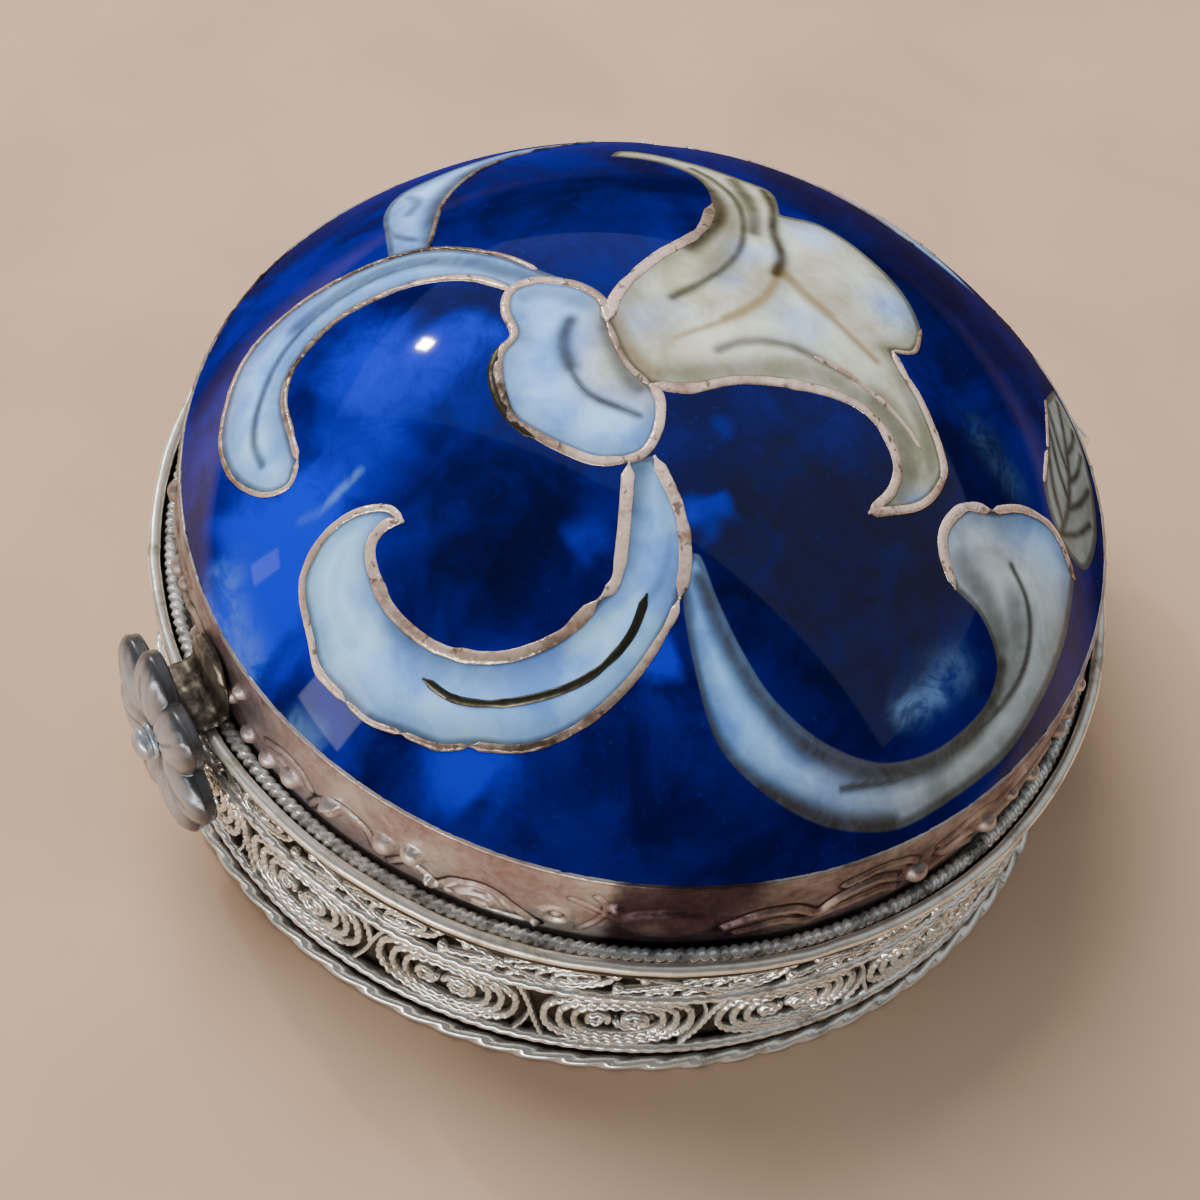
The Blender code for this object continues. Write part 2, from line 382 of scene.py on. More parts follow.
def aged_metal_group():
    """Metal that is bright where it is rubbed and dark in patches of tarnish."""
    tree, given, out = shader_group(
        "aged_metal",
        [
            ("Vector", "NodeSocketVector", None),
            ("Bright", "NodeSocketColor", (0.8, 0.78, 0.72, 1.0)),
            ("Dark", "NodeSocketColor", (0.1, 0.09, 0.08, 1.0)),
            ("Tarnish", "NodeSocketFloat", 0.5),
            ("Patch Scale", "NodeSocketFloat", 700.0),
            ("Roughness", "NodeSocketFloat", 0.25),
        ],
        [("Color", "NodeSocketColor"), ("Roughness", "NodeSocketFloat"), ("Height", "NodeSocketFloat")])
    patches = noise(tree, given["Vector"], given["Patch Scale"], 4.0, 0.6, 0.3)
    fine_scale = times(tree, given["Patch Scale"], 7.0)
    grains = noise(tree, given["Vector"], fine_scale, 2.0, 0.6)
    edge = maths(tree, "SUBTRACT", 0.75, times(tree, given["Tarnish"], 0.5))
    stained = remap(tree, patches, maths(tree, "SUBTRACT", edge, 0.12), plus(tree, edge, 0.14))
    speckle = remap(tree, grains, 0.35, 0.7)
    dirt = times(tree, stained, plus(tree, times(tree, speckle, 0.4), 0.6))
    wire_in(tree, out["Color"], blend_colour(tree, dirt, given["Bright"], given["Dark"]))
    rubbed = plus(tree, given["Roughness"], times(tree, grains, 0.14))
    wire_in(tree, out["Roughness"], plus(tree, rubbed, times(tree, dirt, 0.2)))
    height = plus(tree, times(tree, patches, 0.6), times(tree, grains, 0.4))
    wire_in(tree, out["Height"], height)
    return tree


aged_metal = aged_metal_group()


def metal(name, bright, dark, tarnish, roughness, patch_scale=700.0, relief=0.00002, metallic=1.0):
    """A worn metal: its two colours, how tarnished and how rough it is, and its relief in metres."""
    material, tree, shader = new_material(name)
    made = use_group(
        tree, aged_metal, Vector=object_place(tree), Bright=bright, Dark=dark,
        Tarnish=tarnish, Patch_Scale=patch_scale, Roughness=roughness)
    tree.links.new(made["Color"], shader.inputs["Base Color"])
    tree.links.new(made["Roughness"], shader.inputs["Roughness"])
    shader.inputs["Metallic"].default_value = metallic
    bump(tree, shader, made["Height"], relief)
    return material


def border_metal():
    """Copper: pink, tan or brown by place, partly its patina and partly painted light and shade, with
    near-black patina in the hollows of the relief.
    """
    material, tree, shader = new_material("border_copper")
    place = object_place(tree)
    made = use_group(
        tree, aged_metal, Vector=place, Bright=(1.0, 1.0, 1.0), Dark=(0.55, 0.42, 0.40),
        Tarnish=0.6, Patch_Scale=300.0, Roughness=0.27)
    tan = read_attribute(tree, "tan")
    patina = read_attribute(tree, "patina")
    relief = read_attribute(tree, "relief")
    base = blend_colour(tree, tan, (0.62, 0.58, 0.60), (0.62, 0.58, 0.53))
    rosy = remap(tree, noise(tree, place, 150.0, 3.0), 0.46, 0.62)
    base = blend_colour(tree, times(tree, rosy, 0.42), base, (0.42, 0.27, 0.27))
    clouds = maths(tree, "SUBTRACT", noise(tree, place, 420.0, 4.0, 0.7), 0.5)
    # Patina, partly painted shade, broken up in clouds
    stained = plus(tree, patina, times(tree, clouds, 1.1))
    base = blend_colour(tree, remap(tree, stained, 0.12, 1.0), base, (0.072, 0.044, 0.054))
    base = blend_colour(tree, 1.0, base, made["Color"], "MULTIPLY")
    rubbed = times(tree, remap(tree, relief, 0.04, 0.22), remap(tree, patina, 0.95, 0.3))
    base = blend_colour(tree, times(tree, rubbed, 0.45), base, (0.78, 0.68, 0.60))
    hollow = remap(tree, relief, 0.0, -0.06)
    tree.links.new(blend_colour(tree, hollow, base, (0.03, 0.016, 0.012)), shader.inputs["Base Color"])
    tree.links.new(made["Roughness"], shader.inputs["Roughness"])
    shader.inputs["Metallic"].default_value = 0.85
    bump(tree, shader, made["Height"], 0.00008)
    return material


def line_metal():
    """The copper lines that hold the enamel: hammered and bright, or dark in places, partly from tarnish and
    partly as painted shade.
    """
    material, tree, shader = new_material("copper_line")
    place = object_place(tree)
    made = use_group(
        tree, aged_metal, Vector=place, Bright=(1.0, 0.76, 0.62), Dark=(0.38, 0.22, 0.16),
        Tarnish=0.4, Patch_Scale=420.0, Roughness=0.16)
    worn = remap(tree, noise(tree, place, 520.0, 3.0, 0.7), 0.42, 0.60)
    # Darkened along each line by its tone: partly tarnish, partly painted shade
    darkened = times(tree, read_attribute(tree, "tone"), plus(tree, times(tree, worn, 0.3), 0.7))
    base = blend_colour(tree, darkened, made["Color"], (0.055, 0.040, 0.026))
    specks = noise(tree, place, 1500.0, 2.0, 0.7)
    struck = times(tree, remap(tree, specks, 0.58, 0.68), 0.75)
    tree.links.new(blend_colour(tree, struck, base, (0.10, 0.06, 0.045)), shader.inputs["Base Color"])
    tree.links.new(made["Roughness"], shader.inputs["Roughness"])
    shader.inputs["Metallic"].default_value = 0.62
    bump(tree, shader, plus(tree, specks, made["Height"]), 0.00008)
    return material


def clear_blue(tree, place, cloud, streak):
    """The ground's colour: deep blue with brighter places that are partly painted light, pools of painted
    shade, and pale smears of painted reflection.
    """
    deep = blend_colour(tree, remap(tree, cloud, 0.36, 0.66), (0.0005, 0.0010, 0.040), (0.0005, 0.0028, 0.14))
    # Brighter blue: partly the enamel's own mottling, partly painted light where the lamps would glow in it
    azure = times(tree, read_attribute(tree, "azure"), plus(tree, streak, 0.45))
    ground = blend_colour(tree, remap(tree, azure, 0.25, 0.85), deep, (0.0005, 0.013, 0.44))
    grain = noise(tree, place, 2600.0, 3.0, 0.7)
    flecks = times(tree, remap(tree, grain, 0.62, 0.74), 0.30)
    ground = blend_colour(tree, flecks, ground, (0.002, 0.02, 0.34))
    # Painted shade: darker pools in the blue
    dim = times(tree, read_attribute(tree, "dim"), remap(tree, streak, 0.25, 0.7, 0.6, 1.0))
    ground = blend_colour(tree, dim, ground, (0.0015, 0.002, 0.014))
    # Painted reflection: pale smears where the dome would mirror windows
    smear = times(tree, read_attribute(tree, "smear"), remap(tree, streak, 0.36, 0.60, 0.25, 1.0))
    return blend_colour(tree, smear, ground, (0.11, 0.22, 0.46))


def pale_cells(tree, place, cell, streak):
    """The cells' colour: pale blue to cream, with golden lines, and brown along folds and edges."""
    milk = remap(tree, noise(tree, place, 330.0, 4.0, 0.6, 0.4), 0.3, 0.7)
    cool = blend_colour(tree, milk, (0.075, 0.235, 0.70), (0.20, 0.47, 0.95))
    cream = blend_colour(tree, milk, (0.32, 0.33, 0.22), (0.58, 0.61, 0.52))
    # Painted light: the pale blue cells are lightened where the blue around them glows
    lit = times(tree, remap(tree, read_attribute(tree, "azure"), 0.15, 0.9), 0.65)
    cool = blend_colour(tree, lit, cool, (0.34, 0.70, 1.0))
    pale = blend_colour(tree, read_attribute(tree, "warm"), cool, cream)
    uneven = remap(tree, streak, 0.25, 0.75, 0.88, 1.0)
    gold = times(tree, read_attribute(tree, "gold"), uneven)
    pale = blend_colour(tree, gold, pale, (0.20, 0.135, 0.05))
    near_edge = times(tree, remap(tree, cell, 0.62, 0.12), 0.92)
    edge_shade = maths(tree, "MAXIMUM", near_edge, times(tree, remap(tree, cell, 1.5, 0.2), 0.5))
    brown = maths(tree, "MAXIMUM", read_attribute(tree, "shade"), edge_shade)
    return blend_colour(tree, times(tree, brown, uneven), pale, (0.026, 0.019, 0.010))


def enamel_material():
    """Clear blue over bright metal, with pale opaque cells, under a gloss that fades at grazing angles."""
    material, tree, shader = new_material("enamel")
    place = object_place(tree)
    cell = read_attribute(tree, "cell")
    cloud = noise(tree, place, 170.0, 5.0, 0.62, 0.5)
    streak = noise(tree, place, 420.0, 4.0, 0.7, 1.2)
    ground = clear_blue(tree, place, cloud, streak)
    pale = pale_cells(tree, place, cell, streak)
    inside = remap(tree, cell, -0.06, 0.06)
    tree.links.new(blend_colour(tree, inside, ground, pale), shader.inputs["Base Color"])
    tree.links.new(remap(tree, cloud, 0.3, 0.7, 0.44, 0.6), shader.inputs["Roughness"])
    shader.inputs["Specular IOR Level"].default_value = 0.0
    layer = tree.nodes.new("ShaderNodeLayerWeight")
    layer.inputs["Blend"].default_value = 0.5
    tree.links.new(remap(tree, layer.outputs["Facing"], 0.46, 0.68, 1.0, 0.05), shader.inputs["Coat Weight"])
    shader.inputs["Coat Roughness"].default_value = 0.045
    shader.inputs["Coat IOR"].default_value = 1.42
    bump(tree, shader, noise(tree, place, 240.0, 2.0), 0.00006)
    return material


def liner_material():
    """The cup: brown-black behind the wires, which is painted shade, and bright inside."""
    material, tree, shader = new_material("cup_silver")
    place = object_place(tree)
    # Painted shade: the outside, seen only between the wires, is coloured near black
    outside = use_group(
        tree, aged_metal, Vector=place, Bright=(0.10, 0.085, 0.065), Dark=(0.03, 0.024, 0.02),
        Tarnish=0.5, Patch_Scale=500.0, Roughness=0.38)
    inside = use_group(
        tree, aged_metal, Vector=place, Bright=(0.78, 0.74, 0.66), Dark=(0.30, 0.24, 0.17),
        Tarnish=0.25, Patch_Scale=220.0, Roughness=0.24)
    bright = read_attribute(tree, "bright")
    base = blend_colour(tree, bright, outside["Color"], inside["Color"])
    tree.links.new(base, shader.inputs["Base Color"])
    tree.links.new(inside["Roughness"], shader.inputs["Roughness"])
    shader.inputs["Metallic"].default_value = 1.0
    bump(tree, shader, inside["Height"], 0.00002)
    return material


def petal_metal():
    """The flower's silver, with painted light and shade: bright on the petals' swell, dark between them and
    on their sides.
    """
    material, tree, shader = new_material("petal_silver")
    made = use_group(
        tree, aged_metal, Vector=object_place(tree), Bright=(0.53, 0.58, 0.64), Dark=(0.30, 0.31, 0.33),
        Tarnish=0.35, Patch_Scale=420.0, Roughness=0.22)
    raised = read_attribute(tree, "raised")
    # Painted light and shade: near-black grey where the petals dip or turn aside, bright on their swell
    base = blend_colour(tree, raised, (0.12, 0.12, 0.125), made["Color"])
    tree.links.new(base, shader.inputs["Base Color"])
    tree.links.new(made["Roughness"], shader.inputs["Roughness"])
    shader.inputs["Metallic"].default_value = 0.8
    bump(tree, shader, made["Height"], 0.00004)
    return material


silver_wire = metal("silver_wire", (1.0, 1.0, 0.93), (0.22, 0.18, 0.12), 0.30, 0.12, metallic=0.76)
plain_silver = metal("plain_silver", (1.0, 0.96, 0.84), (0.34, 0.28, 0.19), 0.35, 0.26, 500.0, 0.00004, 0.85)
petal_silver = petal_metal()
rope_silver = metal("rope_silver", (1.0, 1.0, 0.96), (0.12, 0.12, 0.11), 0.45, 0.2, 900.0, metallic=0.75)
strap_bronze = metal("strap_bronze", (0.44, 0.38, 0.29), (0.07, 0.056, 0.045), 0.6, 0.26, 300.0, 0.00008, 0.9)
gilt_silver = metal("gilt_silver", (0.80, 0.74, 0.62), (0.40, 0.30, 0.20), 0.25, 0.26, 200.0)
vein_metal = metal("vein_metal", (0.16, 0.15, 0.11), (0.05, 0.045, 0.03), 0.5, 0.3, 600.0)
border_copper = border_metal()
copper_line = line_metal()
enamel = enamel_material()
cup_silver = liner_material()


# The picture on the lid: outlines in millimetres from the dome's middle, seen from the camera's side
picture_turn = math.radians(50)

lily_left = [(-3.5, -1.3), (-3.3, 0.7), (-2.1, 3.3), (-0.4, 6.0), (-0.1, 8.7), (-1.0, 11.3), (-3.1, 12.8),
             (-5.6, 13.2)]
lily_top = [(-5.6, 13.2), (-5.0, 14.4), (-2.2, 13.8), (1.0, 12.7), (2.6, 12.0), (3.2, 9.6)]
lily_back = [(3.2, 9.6), (5.2, 10.1), (7.3, 9.2), (9.6, 7.3), (10.8, 4.9), (10.6, 3.1), (9.5, 2.3)]
lily_right = [(9.5, 2.3), (10.3, 1.2), (11.2, 0.2), (12.5, -1.9), (12.8, -3.3), (11.9, -5.2), (9.6, -6.8)]
lily_low = [(9.6, -6.8), (10.5, -5.2), (10.5, -3.7), (9.4, -2.3), (7.9, -1.8), (5.5, -2.1), (2.8, -2.9),
            (0.8, -4.0), (-1.0, -4.3)]
lily_foot = [(-1.0, -4.3), (-2.3, -3.3), (-3.5, -1.3)]
calyx_edge = [(-3.5, -1.3), (-3.9, -0.1), (-5.1, 0.7), (-6.9, 0.9), (-8.1, 0.2), (-8.1, -1.1), (-7.4, -2.5),
              (-7.8, -3.6), (-7.5, -5.0), (-6.6, -6.7), (-5.3, -7.5), (-3.7, -8.1), (-2.3, -8.3),
              (-0.7, -7.7), (-0.2, -6.4), (-0.4, -4.9), (-1.0, -4.3)]
long_leaf_outer = [(-5.1, 0.7), (-7.2, 1.6), (-9.1, 2.6), (-12.1, 3.4), (-14.4, 3.2), (-16.9, 2.2),
                   (-18.9, 0.7), (-20.1, -1.3), (-20.2, -4.1), (-19.7, -6.4), (-18.5, -8.3), (-16.9, -9.4),
                   (-15.7, -9.3), (-15.6, -8.2)]
long_leaf_inner = [(-15.6, -8.2), (-16.3, -6.8), (-17.2, -4.8), (-17.2, -2.9), (-16.1, -0.9), (-14.6, 0.2),
                   (-12.4, 1.0), (-10.1, 1.0), (-8.1, 0.2)]
back_leaf_right = [(-12.6, 3.5), (-12.8, 8.1), (-11.8, 11.7), (-9.8, 14.4), (-6.8, 17.2)]
back_leaf_left = [(-6.8, 17.2), (-10.4, 15.6), (-13.9, 12.4), (-15.5, 10.4), (-15.7, 7.8), (-15.1, 5.5),
                  (-14.4, 3.2)]
stem_left = [(-1.1, -8.1), (-0.6, -11.4), (-0.5, -13.0), (-1.0, -13.8)]
stem_right = [(2.3, -13.1), (2.2, -11.6), (1.5, -9.7), (-0.1, -7.6)]
scroll_inner = [(-1.0, -13.8), (-2.3, -15.4), (-4.5, -16.4), (-7.1, -16.3), (-9.4, -15.1), (-10.7, -13.6),
                (-11.2, -12.4), (-10.8, -11.6), (-10.0, -11.5)]
scroll_tip = [(-10.0, -11.5), (-10.9, -10.9), (-12.3, -11.0), (-13.4, -11.8), (-13.9, -13.1),
              (-13.7, -14.2), (-12.9, -15.7), (-12.2, -16.9), (-10.7, -18.0)]
scroll_frills = [[(-10.7, -18.0), (-9.5, -18.7), (-8.0, -19.1)],
                 [(-8.0, -19.1), (-6.3, -19.5), (-5.0, -19.4)],
                 [(-5.0, -19.4), (-2.9, -19.3), (-1.3, -18.7), (0.1, -17.6), (1.3, -16.0), (2.1, -14.1),
                  (2.3, -13.1)]]
right_leaf_outer = [(2.2, -11.6), (2.5, -13.2), (3.6, -15.4), (5.2, -17.5), (7.5, -18.4), (10.4, -18.5),
                    (13.2, -17.6), (15.3, -16.0), (18.2, -12.5), (19.7, -9.1), (20.5, -5.7), (20.6, -2.5)]
right_leaf_head = [(20.6, -2.5), (19.5, -1.4), (18.5, -1.2), (17.0, -1.8), (15.5, -3.1)]
right_leaf_curl = [(15.5, -3.1), (14.1, -3.9), (13.3, -5.4), (13.4, -6.6), (14.3, -7.8)]
right_leaf_inner = [(14.3, -7.8), (15.8, -8.1), (17.0, -9.3), (16.9, -11.0), (15.8, -12.9), (14.3, -14.5),
                    (12.2, -15.7), (9.6, -16.0), (7.2, -15.4), (5.4, -14.2), (3.9, -12.7), (2.7, -11.2),
                    (2.2, -11.6)]
fern_edge = [(18.2, 7.4), (18.3, 3.5), (18.2, 0.8), (19.4, -1.2), (21.2, -1.3), (21.9, 1.4), (21.6, 4.6),
             (20.6, 8.8), (19.2, 10.6)]
far_leaf_outer = [(14.2, 13.2), (11.8, 15.8), (8.2, 18.3), (4.2, 19.9), (0.4, 20.6), (-2.4, 20.2)]
far_leaf_head = [(-2.4, 20.2), (-3.9, 19.4), (-4.3, 18.3), (-3.4, 17.5), (-2.0, 17.8)]
far_leaf_inner = [(-2.0, 17.8), (0.4, 18.2), (3.6, 17.5), (7.0, 16.1), (10.4, 14.3), (12.6, 13.4),
                  (14.2, 13.2)]

# Marks the right leaf, whose warmth changes along it
right_leaf_warmth = 0.45

# Each cell: its outline in parts, and how warm its colour is, from pale blue (0) to cream (1)
cells = {
    "lily": ([lily_left, lily_top, lily_back, lily_right, lily_low, lily_foot], 1.0),
    "calyx": ([calyx_edge, lily_foot], 0.12),
    "long_leaf": ([long_leaf_outer, long_leaf_inner, [(-8.1, 0.2), (-6.9, 0.9), (-5.1, 0.7)]], 0.10),
    "back_leaf": ([back_leaf_right, back_leaf_left, [(-14.4, 3.2), (-12.6, 3.5)]], 0.15),
    "scroll": (
        [stem_left, scroll_inner, scroll_tip, *scroll_frills, stem_right, [(-0.1, -7.6), (-1.1, -8.1)]],
        0.10),
    "right_leaf": ([right_leaf_outer, right_leaf_head, right_leaf_curl, right_leaf_inner], right_leaf_warmth),
    "fern": ([fern_edge, [(19.2, 10.6), (18.2, 7.4)]], 0.85),
    "far_leaf": ([far_leaf_outer, far_leaf_head, far_leaf_inner], 0.2),
}

# Soft brown lines and bands inside the cells: points, half width in millimetres, strength
folds = [
    ([(-0.9, 0.9), (0.2, 2.2), (1.1, 3.7), (1.6, 5.3), (1.6, 7.2), (1.3, 8.9), (0.7, 10.3), (-0.4, 11.7),
      (-1.5, 12.7)], 0.30, 0.95),
    ([(0.6, 3.0), (1.1, 5.0), (1.0, 7.4), (0.4, 9.0)], 0.85, 0.55),
    ([(-5.1, 12.9), (-3.5, 12.7), (-2.0, 12.0), (-0.6, 10.4), (0.2, 8.6), (0.2, 6.8),
      (-0.7, 4.7)], 0.75, 1.0),
    ([(2.2, 12.0), (2.8, 10.2), (3.0, 7.8), (3.6, 5.8), (3.5, 4.4)], 0.40, 1.0),
    ([(0.6, 12.2), (1.8, 9.4), (2.1, 7.2)], 0.55, 0.9),
    ([(1.6, -1.6), (2.5, -0.8), (3.6, -0.3), (4.7, -0.1), (5.9, -0.2), (7.6, -0.5)], 0.30, 0.8),
    ([(-0.4, -3.6), (1.5, -2.9), (3.4, -2.0), (5.5, -1.3), (7.7, -1.2), (9.7, -1.8), (10.8, -3.1),
      (11.0, -4.9)], 0.75, 0.6),
    ([(9.2, 2.2), (10.4, 0.4), (11.6, -1.4), (12.2, -3.2)], 0.50, 0.6),
    ([(9.0, -1.2), (10.4, -2.2), (11.0, -3.6), (10.8, -5.2)], 0.95, 0.74),
    ([(12.0, -1.8), (12.2, -3.4), (11.4, -4.8)], 0.7, 0.5),
    ([(-5.1, -1.5), (-5.2, -2.4), (-5.0, -3.2), (-4.6, -4.0)], 0.46, 0.95),
    ([(-5.1, -2.4), (-5.0, -3.2), (-4.2, -4.6), (-3.2, -5.4), (-1.1, -5.9)], 0.22, 0.95),
    ([(-7.6, -0.2), (-6.5, 0.2), (-4.9, -0.2), (-3.8, -0.7)], 0.60, 0.55),
    ([(-3.5, -1.6), (-2.8, -2.8), (-2.1, -3.9), (-1.4, -4.5)], 0.60, 0.85),
    ([(-17.3, -8.0), (-18.1, -6.6), (-18.4, -4.6), (-18.1, -2.0), (-16.8, 0.2), (-14.6, 1.8),
      (-12.0, 2.5)], 0.22, 0.9),
    ([(-17.7, -0.3), (-15.9, 1.5), (-13.3, 2.5), (-10.4, 2.1), (-7.8, 1.1), (-5.9, 0.9)], 0.65, 0.8),
    ([(-15.4, 6.6), (-14.6, 5.2), (-13.4, 4.4)], 0.30, 0.8),
    ([(-14.9, 9.6), (-14.2, 8.4), (-14.4, 7.2)], 0.35, 0.7),
    ([(-12.6, 4.2), (-13.0, 8.0), (-12.2, 11.6), (-10.2, 14.2)], 0.75, 0.95),
    ([(-0.7, -8.2), (-0.7, -10.5), (-0.7, -12.4), (-1.5, -13.8), (-3.0, -15.2), (-5.1, -16.1),
      (-7.3, -16.0), (-9.2, -15.1)], 0.95, 0.85),
    ([(1.2, -9.6), (1.5, -12.1), (0.9, -13.6)], 0.30, 0.45),
    ([(-11.0, -16.0), (-12.4, -14.2), (-12.2, -12.4)], 0.40, 0.25),
    ([(-11.8, -12.2), (-11.6, -13.8), (-10.6, -15.2)], 0.5, 0.3),
    ([(2.4, -13.0), (3.2, -15.0), (4.4, -16.8), (5.6, -17.8), (7.2, -18.3), (9.3, -18.4), (11.7, -18.1),
      (13.8, -17.2)], 0.62, 1.0),
    ([(3.0, -12.1), (4.2, -13.6), (5.4, -14.7), (7.2, -15.8), (9.3, -16.4), (12.0, -16.1), (14.3, -14.8),
      (16.0, -13.0), (17.1, -10.8), (17.2, -9.2)], 0.62, 0.97),
    ([(16.9, -4.9), (18.0, -5.8), (18.5, -7.3), (18.3, -9.2), (17.2, -11.5), (15.6, -13.8), (13.5, -15.7),
      (11.0, -17.1)], 0.20, 0.95),
    ([(17.3, -6.4), (17.9, -8.2), (17.6, -10.2), (16.4, -12.4)], 0.7, 0.55),
    ([(14.4, -6.6), (15.8, -7.3), (16.9, -8.4)], 0.95, 0.75),
    ([(19.9, -9.0), (18.6, -12.0), (16.2, -14.9), (13.6, -17.0)], 0.5, 0.5),
    ([(-2.4, 18.9), (0.6, 19.4), (4.6, 18.7), (8.6, 17.0), (11.6, 14.8)], 0.26, 0.85),
]

# Golden-brown brush lines in the flower
gold_lines = [
    ([(-0.4, -1.5), (1.6, 0.2), (2.6, 1.4), (3.3, 2.8)], 0.20, 0.8),
    ([(1.6, 0.3), (2.7, 1.6), (3.4, 3.2), (3.6, 5.0)], 0.34, 0.9),
    ([(1.4, 1.2), (2.4, 2.4), (2.9, 4.0)], 0.9, 0.35),
    ([(3.6, 4.8), (5.0, 3.6), (6.3, 2.8)], 0.42, 0.9), ([(5.8, 3.1), (7.3, 2.1), (8.8, 1.2)], 0.24, 0.9),
    ([(5.0, 4.6), (6.4, 3.8), (7.8, 3.0)], 1.0, 0.40),
    ([(-3.3, -1.0), (-2.3, -2.6), (-0.9, -3.8)], 0.55, 0.7),
    ([(4.4, 4.6), (5.2, 6.4), (6.4, 7.6)], 1.10, 0.30),
    ([(-1.9, 0.2), (-0.4, -1.6), (0.9, -3.0)], 1.00, 0.35),
    ([(0.4, 4.4), (0.6, 6.8), (0.2, 8.6)], 0.80, 0.40),
]

# Veins of the fern
leaflets = [
    [(19.4, -1.4), (19.8, 0.8), (19.8, 3.2), (19.5, 6.0), (19.2, 9.2)],
    [(19.6, -0.9), (20.6, 0.2), (21.4, 1.8)], [(19.8, 0.9), (20.6, 2.2), (21.3, 4.2)],
    [(19.8, 2.7), (20.4, 4.2), (20.8, 6.4)],
    [(19.6, -0.3), (18.9, 1.0), (18.4, 3.0)], [(19.8, 1.5), (19.0, 3.0), (18.4, 5.2)],
    [(19.7, 3.4), (19.0, 4.8), (18.4, 7.0)],
    [(19.6, 4.6), (20.1, 6.2), (20.3, 8.0)],
]

# Bluish-white places on the flower's petals: centre, radius and strength
cool_spots = [
    ((2.3, 5.2), 1.1, 0.5), ((5.1, 1.8), 1.4, 0.5), ((9.2, 5.6), 1.6, 0.65),
    ((-1.7, -0.6), 1.3, 0.45), ((4.9, 8.6), 1.3, 0.6), ((1.6, 2.8), 0.8, 0.4), ((11.6, -5.6), 1.0, 0.6),
]

# Brighter places in the blue, partly the enamel's mottling and partly painted light: centre, radius and
# strength
mottle_and_glow_spots = [
    ((-11.1, -15.8), 1.5, 1.0), ((-12.0, -13.2), 1.1, 0.8), ((-7.2, -18.0), 1.0, 0.5),
    ((-2.8, -6.8), 1.2, 0.8),
    ((-18.2, -7.0), 0.9, 0.5),
    ((-15.9, -11.7), 3.0, 1.3), ((-5.3, -19.9), 1.7, 0.95), ((-3.4, -20.6), 2.0, 0.35),
    ((1.6, -14.9), 1.3, 1.1), ((-1.1, -15.4), 1.2, 0.9),
    ((2.4, -9.8), 1.3, 0.9), ((-11.8, -6.2), 4.2, 0.5), ((-9.4, -2.6), 2.4, 0.45),
    ((-13.8, -3.0), 3.0, 0.42), ((-8.6, -11.6), 2.0, 0.5),
    ((-2.0, -11.5), 1.6, 0.6), ((-15.7, -15.3), 2.4, 0.8), ((-10.6, -20.0), 2.4, 0.5),
    ((4.6, -15.0), 1.2, 0.45), ((2.6, -5.4), 1.2, 0.5),
    ((6.4, -5.2), 1.6, 0.35), ((-4.8, 2.8), 1.6, 0.35), ((-19.6, -6.0), 2.4, 0.3),
]

# Darker pools of painted shade in the blue
painted_shade_pools = [
    ((-6.6, -12.4), 3.1, 1.1), ((-5.0, -10.0), 2.6, 0.8), ((-8.6, -9.8), 1.8, 0.5),
    ((6.4, -7.4), 4.4, 0.95), ((8.6, -10.6), 3.6, 0.85), ((5.0, -11.6), 3.0, 0.6),
    ((13.4, -2.0), 3.4, 0.75), ((12.4, -8.6), 3.2, 0.8), ((9.6, -12.8), 3.0, 0.5), ((-6.4, 8.0), 5.4, 0.85),
    ((13.0, 9.0), 5.5, 0.80),
    ((8.0, 15.0), 5.0, 0.75), ((0.0, 17.0), 5.0, 0.7), ((7.6, -21.0), 4.2, 0.55), ((15.0, -17.0), 3.6, 0.6),
    ((19.6, -9.0), 2.4, 0.7),
    ((-9.5, -8.6), 1.6, 0.35), ((-2.4, -9.2), 1.4, 0.3), ((-19.4, -11.6), 1.8, 0.45),
]

# Painted reflections: pale streaks in the blue where the dome would mirror windows, drawn as the folds are
smears = [
    ([(12.9, -13.6), (13.6, -12.9), (14.5, -11.9)], 0.55, 0.75),
    ([(13.4, -13.0), (14.4, -11.6), (15.2, -10.6)], 0.85, 0.34),
    ([(-17.8, -12.6), (-17.0, -14.4), (-15.6, -16.2)], 0.9, 0.34),
    ([(-13.0, -18.6), (-11.8, -19.2)], 0.6, 0.45),
    ([(14.4, 0.6), (16.4, -0.8)], 0.9, 0.15), ([(-12.6, -9.2), (-13.8, -10.6), (-14.6, -11.0)], 0.22, 0.5),
]

